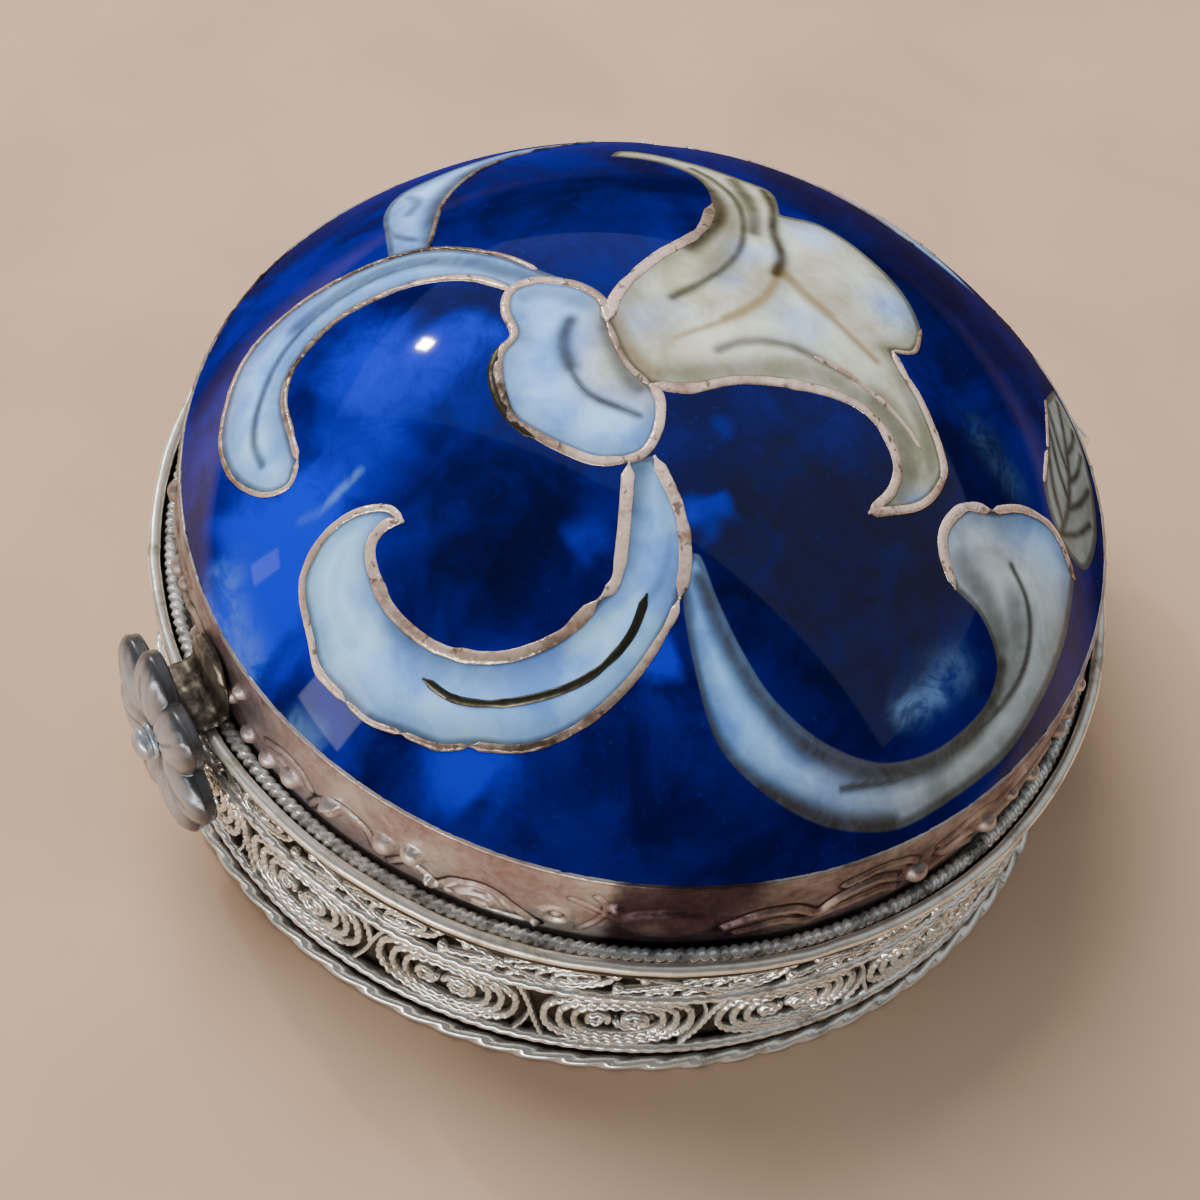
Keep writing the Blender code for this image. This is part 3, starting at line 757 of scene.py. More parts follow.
# Copper lines: points, width in millimetres, and how dark they are from start to end, partly tarnish and
# partly painted shade
copper_lines = [
    (lily_left[:5], 0.66, (0.0, 0.0, 0.1, 0.5, 0.9)), (lily_right, 0.44, (0.0, 0.1, 0.0, 0.0)),
    (lily_low, 0.54, (0.0, 0.0, 0.1, 0.0, 0.0, 0.1, 0.0)), (lily_foot, 0.32, (0.2, 0.7, 0.5)),
    (lily_back[4:], 0.24, (0.5, 0.2)),
    (calyx_edge, 0.50, (0.1, 0.5, 0.2, 0.5, 0.3, 1.0, 1.0, 0.7, 0.2, 0.0, 0.0, 0.0)),
    (long_leaf_outer[1:], 0.30, (0.2, 0.8, 1.0, 0.9, 0.7, 0.4, 0.6, 0.8, 0.5, 0.1)),
    (long_leaf_inner, 0.44, (0.0, 0.9, 1.0, 0.9, 0.6, 0.3, 0.1)),
    (stem_left, 0.62, (0.0, 0.0, 0.2)), (stem_right, 0.62, (0.5, 0.0, 0.0)),
    (scroll_inner, 0.62, (0.2, 0.7, 0.6, 0.3, 0.5, 0.1, 0.0)),
    (scroll_tip, 0.42, (0.0, 0.2, 0.4, 0.1, 0.0, 0.0)),
    (scroll_frills[0], 0.32, (0.1, 0.3)), (scroll_frills[1], 0.34, (0.5, 0.9)),
    (scroll_frills[2], 0.44, (0.8, 1.0, 0.8, 0.4, 0.1)),
    (right_leaf_head, 0.44, (0.4, 0.1, 0.0, 0.0)), (right_leaf_curl, 0.58, (0.0, 0.0, 0.1)),
    ([(5.9, -0.2), (7.2, -0.3), (8.5, -0.7), (9.6, -1.1), (10.8, -1.8),
      (11.5, -2.4)], 0.28, (0.3, 0.0, 0.1, 0.0)),
    (back_leaf_right, 0.24, (1.0, 1.0)), (far_leaf_outer[1:], 0.34, (0.6, 0.1, 0.3, 0.0)),
    (far_leaf_head, 0.42, (0.0, 0.1)),
    (far_leaf_inner[:5], 0.36, (0.0, 0.4, 0.8)), (fern_edge[:2], 0.20, (0.8, 0.2)),
    ([(18.25, 3.2), (18.2, 0.9)], 0.26, (0.0, 0.0)),
]

# Thin dark veins, given as the copper lines are
dark_lines = [
    ([(0.9, -13.2), (0.7, -14.6), (0.2, -15.6), (-0.6, -16.5), (-1.7, -17.2), (-3.2, -17.75), (-4.7, -18.0),
      (-6.2, -17.9), (-7.6, -17.3)], 0.44, (0.0, 0.0)),
    ([(-7.9, -3.2), (-7.9, -4.7), (-7.3, -6.0), (-6.5, -6.9), (-5.3, -7.7)], 0.46, (0.0, 0.0)),
]


def turned_plan(points):
    """Plan points of the picture, in the frame's own x and y."""
    points = np.asarray(points, float)
    c, s = math.cos(picture_turn), math.sin(picture_turn)
    return np.column_stack([points[:, 0] * c - points[:, 1] * s, points[:, 0] * s + points[:, 1] * c])


def picture_plan(places):
    """The picture's x and y for places on the lid."""
    c, s = math.cos(picture_turn), math.sin(picture_turn)
    return np.column_stack([places[:, 0] * c + places[:, 1] * s, places[:, 1] * c - places[:, 0] * s])


out_of_reach = 9.0


def line_distance(plan, line, reach=1.6):
    """Each plan point's distance to a line of points, where that is less than the reach."""
    best = np.full(len(plan), out_of_reach)
    low, high = line.min(0) - reach, line.max(0) + reach
    near = np.where(((plan > low) & (plan < high)).all(1))[0]
    points = plan[near]
    found = np.full(len(points), out_of_reach)
    for a, b in zip(line, line[1:]):
        step = b - a
        share = np.clip(((points - a) @ step) / max(step @ step, 1e-9), 0, 1)
        found = np.minimum(found, np.linalg.norm(points - a - share[:, None] * step, axis=1))
    best[near] = found
    return best


def brushed(plan, strokes):
    """Soft strokes: the strongest at each plan point."""
    total = np.zeros(len(plan))
    for points, width, strength in strokes:
        away = line_distance(plan, smooth_line(points, spacing=0.3), 2.6 * width + 0.3)
        total = np.maximum(total, strength * np.exp(-(away / width) ** 2.6))
    return total


def pools(plan, spots):
    """Soft spots with uneven edges, added up."""
    total = np.zeros(len(plan))
    x, y = plan[:, 0], plan[:, 1]
    plan = plan + 0.55 * np.column_stack([wobble(1.1 * y + 0.6 * x, 3), wobble(1.2 * x - 0.7 * y, 8)])
    for centre, radius, strength in spots:
        away = np.linalg.norm(plan - centre, axis=1) / radius
        total += strength * np.exp(-away ** 2)
    return total


def inside_line(plan, line):
    """Whether each plan point lies inside a closed line."""
    inside = np.zeros(len(plan), bool)
    x, y = plan[:, 0], plan[:, 1]
    for (ax, ay), (bx, by) in zip(line, np.roll(line, -1, axis=0)):
        crosses = (ay > y) != (by > y)
        if crosses.any():
            inside ^= crosses & (x < (bx - ax) * (y - ay) / (by - ay + 1e-12) + ax)
    return inside


def cell_outline(parts):
    return np.vstack([smooth_line(part, spacing=0.25)[:-1] for part in parts])


def fan_disc(count):
    """Faces of a disc of points in rings: one in the middle, and 6 more in each ring than in the last."""
    faces = []
    for ring in range(1, count + 1):
        outer, outer_size = 1 + 3 * ring * (ring - 1), 6 * ring
        inner, inner_size = (1 + 3 * (ring - 1) * (ring - 2), 6 * (ring - 1)) if ring > 1 else (0, 1)
        for sector in range(6):
            for j in range(ring):
                a = outer + (sector * ring + j) % outer_size
                b = outer + (sector * ring + j + 1) % outer_size
                c = inner + (sector * (ring - 1) + j) % inner_size
                faces.append([a, b, c])
                if j < ring - 1:
                    faces.append([c, b, inner + (sector * (ring - 1) + j + 1) % inner_size])
    return faces


def ball_places(angles, turns):
    """Places on a ball of radius 1: angles from its top, and turns about it."""
    return np.column_stack([np.sin(angles) * np.cos(turns), np.sin(angles) * np.sin(turns), np.cos(angles)])


def enamel_dome():
    """A thin closed cap, with points close enough on top to hold the picture's edges."""
    ring_count = 170
    edge_angle = math.asin(border_radius / dome_radius)
    sizes = [1] + [6 * ring for ring in range(1, ring_count + 1)]
    angles = np.repeat(np.arange(ring_count + 1) / ring_count * edge_angle, sizes)
    turns = np.concatenate([np.arange(size) / size * math.tau for size in sizes])
    top = ball_places(angles, turns) * dome_radius
    faces = fan_disc(ring_count)
    columns = sizes[-1]
    under_angles = np.array([1.0, 0.82, 0.62, 0.42, 0.22, 0.05]) * edge_angle
    round_turns = np.arange(columns) / columns * math.tau
    under = [ball_places(np.full(columns, angle), round_turns) for angle in under_angles]
    under = np.vstack(under) * (dome_radius - enamel_thickness)
    edge_start = len(top) - columns
    start = len(top)
    for j in range(columns):
        k = (j + 1) % columns
        faces.append([edge_start + j, start + j, start + k, edge_start + k])
        for row in range(len(under_angles) - 1):
            here, below = start + row * columns, start + (row + 1) * columns
            faces.append([here + j, below + j, below + k, here + k])
    faces.append([start + (len(under_angles) - 1) * columns + j for j in range(columns)])
    dome = mesh_piece("enamel_dome", np.vstack([top, under]) + (0, 0, dome_centre), faces, enamel)
    tidy_normals(dome, 1e-8)
    paint_picture(dome)
    return placed(dome, "lid", "enamel", "lid_shell")


def paint_picture(dome):
    """The picture as values on the dome's points, which the enamel's shader reads."""
    plan = picture_plan(points_of(dome))
    depth = np.full(len(plan), -out_of_reach)
    warmth = np.zeros(len(plan))
    for parts, warm in cells.values():
        outline = cell_outline(parts)
        away = line_distance(plan, np.vstack([outline, outline[:1]]))
        signed = np.where(inside_line(plan, outline), away, -away)
        deeper = signed > depth
        depth = np.where(deeper, signed, depth)
        warmth = np.where(deeper, warm, warmth)
    # The right leaf turns from blue to cream towards its far end
    far_right = np.clip((plan[:, 0] - 6) / 10, 0, 1) * np.clip(-(plan[:, 1] + 1) / 4, 0, 1)
    warmth = np.where(warmth == right_leaf_warmth, 0.05 + 0.75 * far_right, warmth)
    # The calyx is creamy beside the flower
    calyx = inside_line(plan, cell_outline(cells["calyx"][0]))
    creamy = np.clip((plan[:, 0] + 5.4) / 2.2, 0, 1) * np.clip((plan[:, 1] + 7.0) / 3.0, 0, 1)
    warmth = np.where(calyx, np.maximum(warmth, 0.85 * creamy), warmth)
    warmth = warmth * (1 - np.clip(pools(plan, cool_spots), 0, 0.8))
    shade = brushed(plan, folds)
    fern = inside_line(plan, cell_outline(cells["fern"][0])).astype(float)
    leaves = brushed(plan, [(leaf, 0.17, 1.0) for leaf in leaflets])
    shade = np.maximum(shade, fern * (0.55 + 0.45 * leaves))
    point_attributes(
        dome, cell=depth, warm=warmth, shade=shade, gold=brushed(plan, gold_lines),
        smear=brushed(plan, smears), azure=pools(plan, mottle_and_glow_spots),
        dim=np.clip(pools(plan, painted_shade_pools), 0, 0.93))


def on_dome(plan, lift):
    """Places over plan points, so far above the enamel."""
    height = np.sqrt(np.maximum(dome_radius ** 2 - (plan ** 2).sum(1), 0))
    outward = np.column_stack([plan, height]) / dome_radius
    return outward * (dome_radius + lift) + (0, 0, dome_centre)


# A copper line's section: places across its width, and heights over the enamel in millimetres
line_section = [
    (-0.5, -0.03), (-0.38, 0.045), (-0.12, 0.07), (0.12, 0.07), (0.38, 0.045), (0.5, -0.03), (0.0, -0.12),
]
line_spacing = 0.14


def dome_line(points, width, tones, seed):
    """A low rounded line of metal that lies on the dome, and how dark each of its points is."""
    line = turned_plan(smooth_line(points, spacing=line_spacing))
    centre = on_dome(line, 0.0)
    outward = (centre - (0, 0, dome_centre)) / dome_radius
    forward = np.gradient(centre, axis=0)
    across = np.cross(outward, forward)
    across /= np.linalg.norm(across, axis=1)[:, None]
    gone = np.arange(len(line)) * line_spacing
    ends = np.clip(np.minimum(gone, gone[-1] - gone) / (width * 0.9), 0.25, 1)
    wide = width * (1 + 0.16 * wobble(gone * 1.6, seed)) * ends
    high = 1 + 0.35 * wobble(gone * 3.1, seed + 5)
    rings = []
    for side, lift in line_section:
        place = centre + across * (wide * side)[:, None]
        out = place - (0, 0, dome_centre)
        out /= np.linalg.norm(out, axis=1)[:, None]
        raised = lift * high if lift > 0 else np.full(len(line), lift)
        rings.append(out * (dome_radius + raised)[:, None] + (0, 0, dome_centre))
    rings = np.stack(rings, 1)
    tone = np.interp(gone / gone[-1], np.linspace(0, 1, len(tones)), tones)
    return capped_tube(rings), np.repeat(tone, len(line_section))


def dome_lines(name, lines, material, slot):
    """All the lines of one metal, as one piece."""
    parts, dark = [], []
    for i, (points, width, tones) in enumerate(lines):
        part, tone = dome_line(points, width, tones, i + 1)
        parts.append(part)
        dark.append(tone)
    points, faces = joined(parts)
    piece = mesh_piece(name, points, faces, material)
    point_attributes(piece, tone=np.concatenate(dark))
    return placed(tidy_normals(piece, merge=None), "lid", slot)


# The border's relief, along one third of the way round from the clasp, in millimetres
relief_repeats = 3
# Beads as (along, up, radius), bosses as (along, up, half width, half height, lift)
beads = [(3.2, 11.5, 0.50), (4.7, 11.3, 0.50), (6.4, 11.9, 0.56), (8.9, 12.4, 0.56), (11.9, 12.5, 0.58),
         (13.3, 12.9, 0.58), (14.2, 11.3, 0.36), (22.6, 13.6, 0.32), (23.1, 12.7, 0.28), (37.1, 12.4, 0.62),
         (41.6, 12.4, 0.58), (43.2, 13.2, 0.42), (45.5, 12.2, 0.50), (1.6, 12.6, 0.46), (2.4, 13.9, 0.40),
         (47.6, 13.4, 0.46)]
bosses = [(25.0, 12.6, 2.2, 1.15, 0.34), (16.6, 11.7, 1.7, 0.65, 0.18), (39.3, 12.9, 1.1, 0.6, 0.22)]
# Raised lines: points, half width and lift
ridges = [
    ([(14.6, 11.2), (15.6, 12.3), (17.0, 12.6), (18.4, 11.6), (19.3, 10.9)], 0.11, 0.16),
    ([(14.6, 11.2), (16.0, 10.9), (17.6, 10.8), (19.3, 10.9)], 0.10, 0.12),
    ([(15.6, 11.5), (16.4, 12.1), (17.2, 11.9), (17.0, 11.4), (16.4, 11.4)], 0.09, 0.12),
    ([(7.6, 10.9), (8.2, 12.0), (9.4, 12.9), (10.8, 12.6), (11.4, 11.4)], 0.10, 0.14),
    ([(12.2, 11.0), (13.0, 11.9), (14.0, 11.7), (14.5, 11.0)], 0.10, 0.14),
    ([(4.6, 12.6), (5.8, 13.2), (7.0, 13.0), (7.6, 12.2)], 0.10, 0.12),
    ([(21.2, 11.2), (22.0, 12.4), (22.2, 13.6), (21.7, 14.3)], 0.08, 0.10),
    ([(20.6, 13.8), (21.8, 13.2), (23.0, 12.2), (23.4, 11.2)], 0.08, 0.10),
    ([(27.6, 12.0), (29.0, 12.9), (30.6, 12.9), (32.0, 12.0), (32.9, 12.9), (34.4, 13.4),
      (35.8, 12.8)], 0.14, 0.22),
    ([(28.2, 11.3), (30.0, 11.9), (31.6, 11.4), (33.4, 11.9), (35.2, 12.0), (36.2, 11.4)], 0.12, 0.16),
    ([(33.0, 13.9), (34.6, 14.3), (36.2, 13.9), (36.9, 13.3)], 0.12, 0.16),
    ([(37.8, 11.5), (39.4, 12.0), (41.0, 11.3)], 0.11, 0.16),
    ([(42.4, 11.4), (43.8, 12.1), (45.0, 13.1), (46.6, 13.2), (47.4, 12.4)], 0.12, 0.18),
    ([(38.2, 13.6), (40.2, 14.2), (42.0, 13.8), (44.0, 14.2)], 0.10, 0.14),
]
# Small raised rings as (along, up, radius)
rings_in_relief = [(20.1, 12.1, 0.62), (5.6, 12.1, 0.3), (40.6, 13.2, 0.3)]


def relief_height(along, up):
    """How far the border stands out at a place, in millimetres."""
    plan = np.column_stack([along.ravel(), up.ravel()])
    height = np.zeros(len(plan))
    for x, z, radius in beads:
        away = np.linalg.norm(plan - (x, z), axis=1) / radius
        height = np.maximum(height, 0.95 * radius * np.sqrt(np.clip(1 - away ** 2, 0, 1)))
        height -= 0.07 * np.exp(-((away - 1.2) / 0.22) ** 2)
    for x, z, wide, high, lift in bosses:
        away = np.hypot((plan[:, 0] - x) / wide, (plan[:, 1] - z) / high)
        height = np.maximum(height, lift * np.clip(1 - away ** 4, 0, 1) ** 0.5)
        height -= 0.06 * np.exp(-((away - 1.12) / 0.10) ** 2)
    for points, width, lift in ridges:
        away = line_distance(plan, smooth_line(points, spacing=0.25))
        height += lift * np.exp(-(away / width) ** 2)
        height -= 0.4 * lift * np.exp(-((away - 2.4 * width) / width) ** 2)
    for x, z, radius in rings_in_relief:
        away = np.linalg.norm(plan - (x, z), axis=1)
        height += 0.15 * np.exp(-((away - radius) / 0.12) ** 2) + 0.10 * np.exp(-(away / 0.16) ** 2)
        height -= 0.05 * np.exp(-((away - radius * 0.55) / 0.10) ** 2)
    return height.reshape(along.shape)


# The border's colour along each third: how tan it is, and how brown its patina, partly painted light and
# shade from the lit and shaded sides
tone_places = [0.0, 7.0, 11.0, 21.5, 22.8, 27.6, 30.0, 38.0, 44.0, 49.5]
tan_shares = [0.2, 0.0, 0.6, 1.0, 0.4, 0.4, 1.0, 0.9, 1.0, 0.2]
patina_shares = [0.62, 0.16, 0.02, 0.06, 0.96, 0.96, 0.62, 0.54, 0.46, 0.62]


def lid_border():
    """A closed ring of metal: relief outside, a ragged lip over the enamel's edge, plain inside."""
    columns, side_rows = 1200, 46
    edge = enamel_edge
    turns = np.arange(columns) / columns * math.tau
    third = math.tau * border_outer / relief_repeats
    along = ((turns - front) * border_outer) % third
    heights = np.linspace(lid_foot, edge - 0.05, side_rows)
    grid_along, grid_up = np.meshgrid(along, heights)
    relief = relief_height(grid_along, grid_up)
    round_turns = np.meshgrid(turns, heights)[0]
    hammered = 0.030 * wobble(round_turns * 31, 3) * wobble(grid_up * 2.3, 7)
    hammered += 0.016 * wobble(round_turns * 83 + grid_up * 3, 5)
    over_rope = grid_up - rope_high[2]
    band = np.clip(over_rope / 0.35, 0, 1) * np.clip((edge + 0.1 - grid_up) / 0.5, 0, 1)
    rise = np.clip(over_rope / (edge - rope_high[2]), 0, 1)
    swell = border_swell * np.sin(rise * math.pi) ** 0.6
    outer = border_radius + swell + (relief + hammered) * band
    ragged = 0.05 * wobble(turns * 60, 2) + 0.035 * wobble(turns * 141, 9)
    lip = [(border_radius + out, edge + up)
           for out, up in ((0.06, 0.05), (0.01, 0.12), (-0.05, 0.16), (-0.12, 0.17), (-0.18, 0.12))]
    inside = border_radius - lid_wall
    inner = [(inside + 0.05, edge - 0.25), (inside, edge - 0.6), (inside, 13.5), (inside, 11.5),
             (inside, lid_foot + 0.06), (inside + 0.06, lid_foot)]
    rows = [np.column_stack([outer[i], np.full(columns, heights[i])]) for i in range(side_rows)]
    for k, (radius, height) in enumerate(lip):
        rows.append(np.column_stack([radius + ragged * (0.4 if k < 2 else 1.0), height + ragged * 0.3]))
    rows += [np.column_stack([np.full(columns, radius), np.full(columns, height)])
             for radius, height in inner]
    rows = np.stack(rows)
    places = np.stack([rows[..., 0] * np.cos(turns), rows[..., 0] * np.sin(turns), rows[..., 1]], -1)
    faces = grid_faces(len(rows), columns, close_rows=True)
    border = mesh_piece("lid_border", places.reshape(-1, 3), faces, border_copper)
    level = np.zeros((len(rows), columns))
    level[:side_rows] = relief * band
    level[side_rows + 1:side_rows + 4] = 0.20 + 0.14 * wobble(turns * 37, 6)
    nicks = np.clip(wobble(turns * 97, 4) * wobble(turns * 61, 11) * 3 - 1.2, 0, 1)
    nicks *= np.clip(wobble(turns * 23, 8) + 0.4, 0, 1)
    level[side_rows - 4:side_rows - 1] -= 0.04 * nicks
    tan = np.interp(along, tone_places, tan_shares)
    patina = np.interp(along, tone_places, patina_shares)
    every_row = (len(rows), 1)
    point_attributes(border, relief=level, tan=np.tile(tan, every_row), patina=np.tile(patina, every_row))
    return placed(tidy_normals(border), "lid", "enamel", "lid_shell")


def lid_lining():
    """The dome seen from inside the open lid."""
    inner, outer = dome_radius - lid_wall, dome_radius - enamel_thickness - 0.02
    outer_end = math.asin((border_radius - 0.25) / outer)
    inner_start = math.asin((border_radius - lid_wall + 0.02) / inner)
    profile = [
        (radius * math.sin(a), dome_centre + radius * math.cos(a))
        for radius, start, end in ((outer, 0, outer_end), (inner, inner_start, 0))
        for a in np.linspace(start, end, 16)]
    lining = turned("lid_lining", profile, 144, gilt_silver)
    lining.data.shade_smooth()
    return placed(lining, "lid", "silver", "lid_shell")


def twisted_ring(name, radius, height, thickness, strands, pitch, depth, around, across, material):
    """A ring of twisted wire, with a groove at each pitch. The depth is a share of its half thickness."""
    bpy.ops.object.select_all(action="DESELECT")
    bpy.ops.curve.primitive_bezier_circle_add(radius=radius * mm)
    ring = bpy.context.object
    ring.name = name
    ring.data.resolution_u = around // 4
    ring.data.bevel_depth = thickness / 2 * mm
    ring.data.bevel_resolution = across // 2 - 2
    bpy.ops.object.convert(target="MESH")
    ring = bpy.context.object
    ring.data.name = name
    places = points_of(ring)
    turn = np.arctan2(places[:, 1], places[:, 0])
    out = np.hypot(places[:, 0], places[:, 1]) - radius
    side = np.arctan2(places[:, 2], out)
    twists = round(math.tau * radius / pitch)
    phase = (strands * side - turn * twists) / 2
    swell = thickness / 2 * (1 - depth + depth * np.abs(np.cos(phase)) ** 0.7)
    swell *= 1 + 0.04 * wobble(turn * 23, height)
    reach = radius + swell * np.cos(side)
    rise = height + swell * np.sin(side) + 0.02 * wobble(turn * 9, height + 3)
    set_points(ring, np.column_stack([reach * np.cos(turn), reach * np.sin(turn), rise]))
    ring.data.shade_smooth()
    return paint(ring, material)


def plain_ring(name, radius, height, thickness, around, across, material):
    """A drawn wire, a little uneven from the hand."""
    ring = twisted_ring(name, radius, height, thickness, 1, 9.0, 0.0, around, across, material)
    places = points_of(ring)
    turn = np.arctan2(places[:, 1], places[:, 0])
    reach = np.hypot(places[:, 0], places[:, 1]) + 0.03 * wobble(turn * 17, 4)
    rise = places[:, 2] + 0.05 * wobble(turn * 13, 8)
    set_points(ring, np.column_stack([reach * np.cos(turn), reach * np.sin(turn), rise]))
    return ring


def wrapped(flat, radius):
    """Flat places (along, up, out), bent round the box from the front."""
    turn = front + flat[..., 0] / radius
    reach = radius + flat[..., 2]
    return np.stack([reach * np.cos(turn), reach * np.sin(turn), flat[..., 1]], -1)


# A wire ribbon's section: shares of its thickness across, and of its depth outwards
ribbon_section = [
    (-0.42, 0.0), (-0.5, 0.5), (-0.42, 0.8), (-0.16, 1.0), (0.16, 1.0), (0.42, 0.8), (0.5, 0.5), (0.42, 0.0),
]


def ribbon(points, thickness, depth=0.46, lift=0.0, beading=0.34, pitch=0.52, spacing=0.10):
    """A flattened twist of wire that stands on edge along a flat line (along, up), open ended."""
    line = smooth_line(points, spacing=spacing)
    forward = np.gradient(line, axis=0)
    forward /= np.linalg.norm(forward, axis=1)[:, None]
    side = np.column_stack([-forward[:, 1], forward[:, 0]])
    gone = np.arange(len(line)) * spacing
    rings = []
    for across, up in ribbon_section:
        lobe = np.abs(np.sin(gone / pitch * math.pi + across * 1.5)) ** 0.8 - 0.6
        share = beading if up > 0.4 else 0.0
        wide = thickness * across * (1 + share * lobe)
        out = lift + depth * up * (1 + 0.7 * share * lobe)
        rings.append(np.column_stack([line + side * wide[:, None], out]))
    return capped_tube(np.stack(rings, 1))


def leaned(centre, x, z, lean):
    """A flat place about a centre, turned by an angle."""
    c, s = math.cos(lean), math.sin(lean)
    return centre[0] + x * c - z * s, centre[1] + x * s + z * c


def oval_spiral(centre, wide, high, turns, start, eye):
    """Flat points from the outer turn of a scroll into its eye."""
    points_a_turn = 12
    steps = int(turns * points_a_turn)
    points = []
    for i in range(steps + 1):
        share = i / steps
        angle = start - turns * math.tau * share
        across = wide + (eye - wide) * share
        up = high + (eye - high) * share
        points.append((centre[0] + across * math.cos(angle), centre[1] + up * math.sin(angle)))
    return points


def oval_arc(centre, wide, high, start, end, lean, steps):
    """Flat points of part of an oval."""
    points = []
    for i in range(steps + 1):
        angle = start + (end - start) * i / steps
        points.append(leaned(centre, wide * math.cos(angle), high * math.sin(angle), lean))
    return points


# The main band of scrolls
scroll_count = 18
band_low = lower_high[2]
band_top = mid_low[2]
band_middle = (band_low + band_top) / 2
scroll_pitch = math.tau * liner_radius / scroll_count


def flat_oval(centre, wide, high, start=30):
    """Flat points of a long, slightly leaning oval with flattened sides."""
    lean, steps = math.radians(-4.0), 34
    points = []
    for i in range(steps + 1):
        angle = math.radians(start) + math.tau * i / steps
        c, s = math.cos(angle), math.sin(angle)
        x = wide * math.copysign(abs(c) ** 0.85, c)
        z = high * math.copysign(abs(s) ** 0.75, s)
        points.append(leaned(centre, x, z, lean))
    return points


def panel_lines(half_high):
    """One panel of the filigree band: ovals nested round two eyes, and a slanting wire to the next."""
    top = half_high - 0.16
    return [
        (flat_oval((0.0, 0.0), 3.42, top), 0.32),
        (flat_oval((0.02, 0.0), 2.72, top - 0.36, 200), 0.31),
        (flat_oval((0.05, 0.0), 2.06, top - 0.72, 80), 0.30),
        (oval_spiral((0.72, -0.04), 0.84, 0.78, 1.7, math.radians(172), 0.18), 0.28),
        (oval_spiral((-0.98, 0.06), 0.58, 0.62, 1.2, math.radians(20), 0.20), 0.28),
        ([(3.25, half_high), (3.85, 0.9), (4.35, -0.9), (4.85, -half_high)], 0.20),
        ([(3.55, -half_high), (3.95, -1.2), (4.12, 0.0)], 0.17),
    ]


def filigree_panels():
    """The main band: a panel for each scroll, every other one upside down."""
    half_high = (band_top - band_low) / 2
    for i in range(scroll_count):
        parts = []
        for points, thickness in panel_lines(half_high):
            flat = np.array(points)
            if i % 2:
                flat[:, 1] *= -1
            parts.append(ribbon(flat + (0.06 * math.sin(i * 2.1), 0.0), thickness=thickness))
        points, faces = joined(parts)
        bent = wrapped(points + (i * scroll_pitch, band_middle, 0), liner_radius)
        panel = mesh_piece(f"filigree_{i + 1:02d}", bent, faces, silver_wire)
        placed(tidy_normals(panel, 1e-9), "base", "silver", f"scroll_{i + 1:02d}")


def granule(radius):
    """Points and faces of a small ball of silver."""
    bpy.ops.object.select_all(action="DESELECT")
    bpy.ops.mesh.primitive_ico_sphere_add(subdivisions=2, radius=radius * mm)
    ball = bpy.context.object
    points = points_of(ball)
    faces = [list(face.vertices) for face in ball.data.polygons]
    bpy.data.objects.remove(ball)
    return points, faces


def upper_band():
    """The narrow band under the rim: crossing wires, slanted leaves and small balls."""
    low, high = mid_high[2] + 0.02, lattice_high[2] + 0.30
    middle = (low + high) / 2
    half_high = (high - low) / 2
    ball_points, ball_faces = granule(0.27)
    leaf, lean = (5.7, -0.2), math.radians(17)
    lines = [
        ([(-0.6, -half_high), (2.0, -0.25), (4.6, half_high)], 0.24, 0.0),
        ([(0.9, -half_high), (3.3, -0.15), (6.0, half_high)], 0.20, 0.0),
        ([(-0.8, half_high), (1.8, 0.25), (4.4, -half_high)], 0.22, 0.10),
        (oval_arc(leaf, 1.75, 0.78, math.radians(10), math.radians(350), lean, 16), 0.24, 0.0),
        (oval_arc(leaf, 1.10, 0.40, math.radians(190), math.radians(500), lean, 14), 0.20, 0.0),
        ([(0.0, 0.9), (0.7, 0.35), (1.5, 0.75), (2.2, 1.1)], 0.22, 0.0),
        ([(2.6, -1.2), (3.4, -0.75), (4.2, -1.0)], 0.20, 0.0),
    ]
    balls = ((1.9, -0.85), (4.3, 0.25), (7.5, 0.62), (0.7, 0.35), (3.1, 0.95), (7.7, -0.6), (5.6, -0.2))
    parts = []
    for i in range(scroll_count):
        start = i * scroll_pitch
        for points, thickness, lift in lines:
            flat = [(x + start, z + middle) for x, z in points]
            parts.append(ribbon(
                flat, thickness, depth=0.40, lift=lift, beading=0.28, pitch=0.46, spacing=0.12))
        for x, z in balls:
            parts.append((ball_points + (start + x, middle + z, 0.30), ball_faces))
    points, faces = joined(parts)
    band = mesh_piece("upper_filigree", wrapped(points, liner_radius), faces, silver_wire)
    return placed(tidy_normals(band, 1e-9), "base", "silver", "lattice_wire")


def base_cup():
    """The cup, its floor, its channel for the rope and the standing wall inside the lid."""
    bezel_outer = border_radius - lid_wall - bezel_clearance
    bezel_inner = bezel_outer - bezel_wall
    liner_inner = liner_radius - liner_wall
    channel_under = rope_channel_floor - ledge_thickness
    profile = [
        (0.0, floor_top), (liner_inner, floor_top), (liner_inner, channel_under - 0.5),
        (bezel_inner, channel_under), (bezel_inner, cup_top), (bezel_outer, cup_top),
        (bezel_outer, rope_channel_floor), (rope_channel_wall, rope_channel_floor),
        (rope_channel_wall, rim_seat), (rim_seat_radius, rim_seat),
        (rim_seat_radius, rim_seat - ledge_thickness), (liner_radius, channel_under),
        (liner_radius, floor_top), (foot_radius, floor_top), (foot_radius, 0.0), (0.0, 0.0)]
    cup = bevelled(turned("cup", profile, 180, cup_silver), 0.08)
    places = points_of(cup)
    reach = np.hypot(places[:, 0], places[:, 1])
    # Only the inside is bright; the outside keeps its painted shade
    point_attributes(cup, bright=(reach < liner_radius - 0.3) & (places[:, 2] > 0.5))
    return placed(cup, "base", "silver", "base_cup")


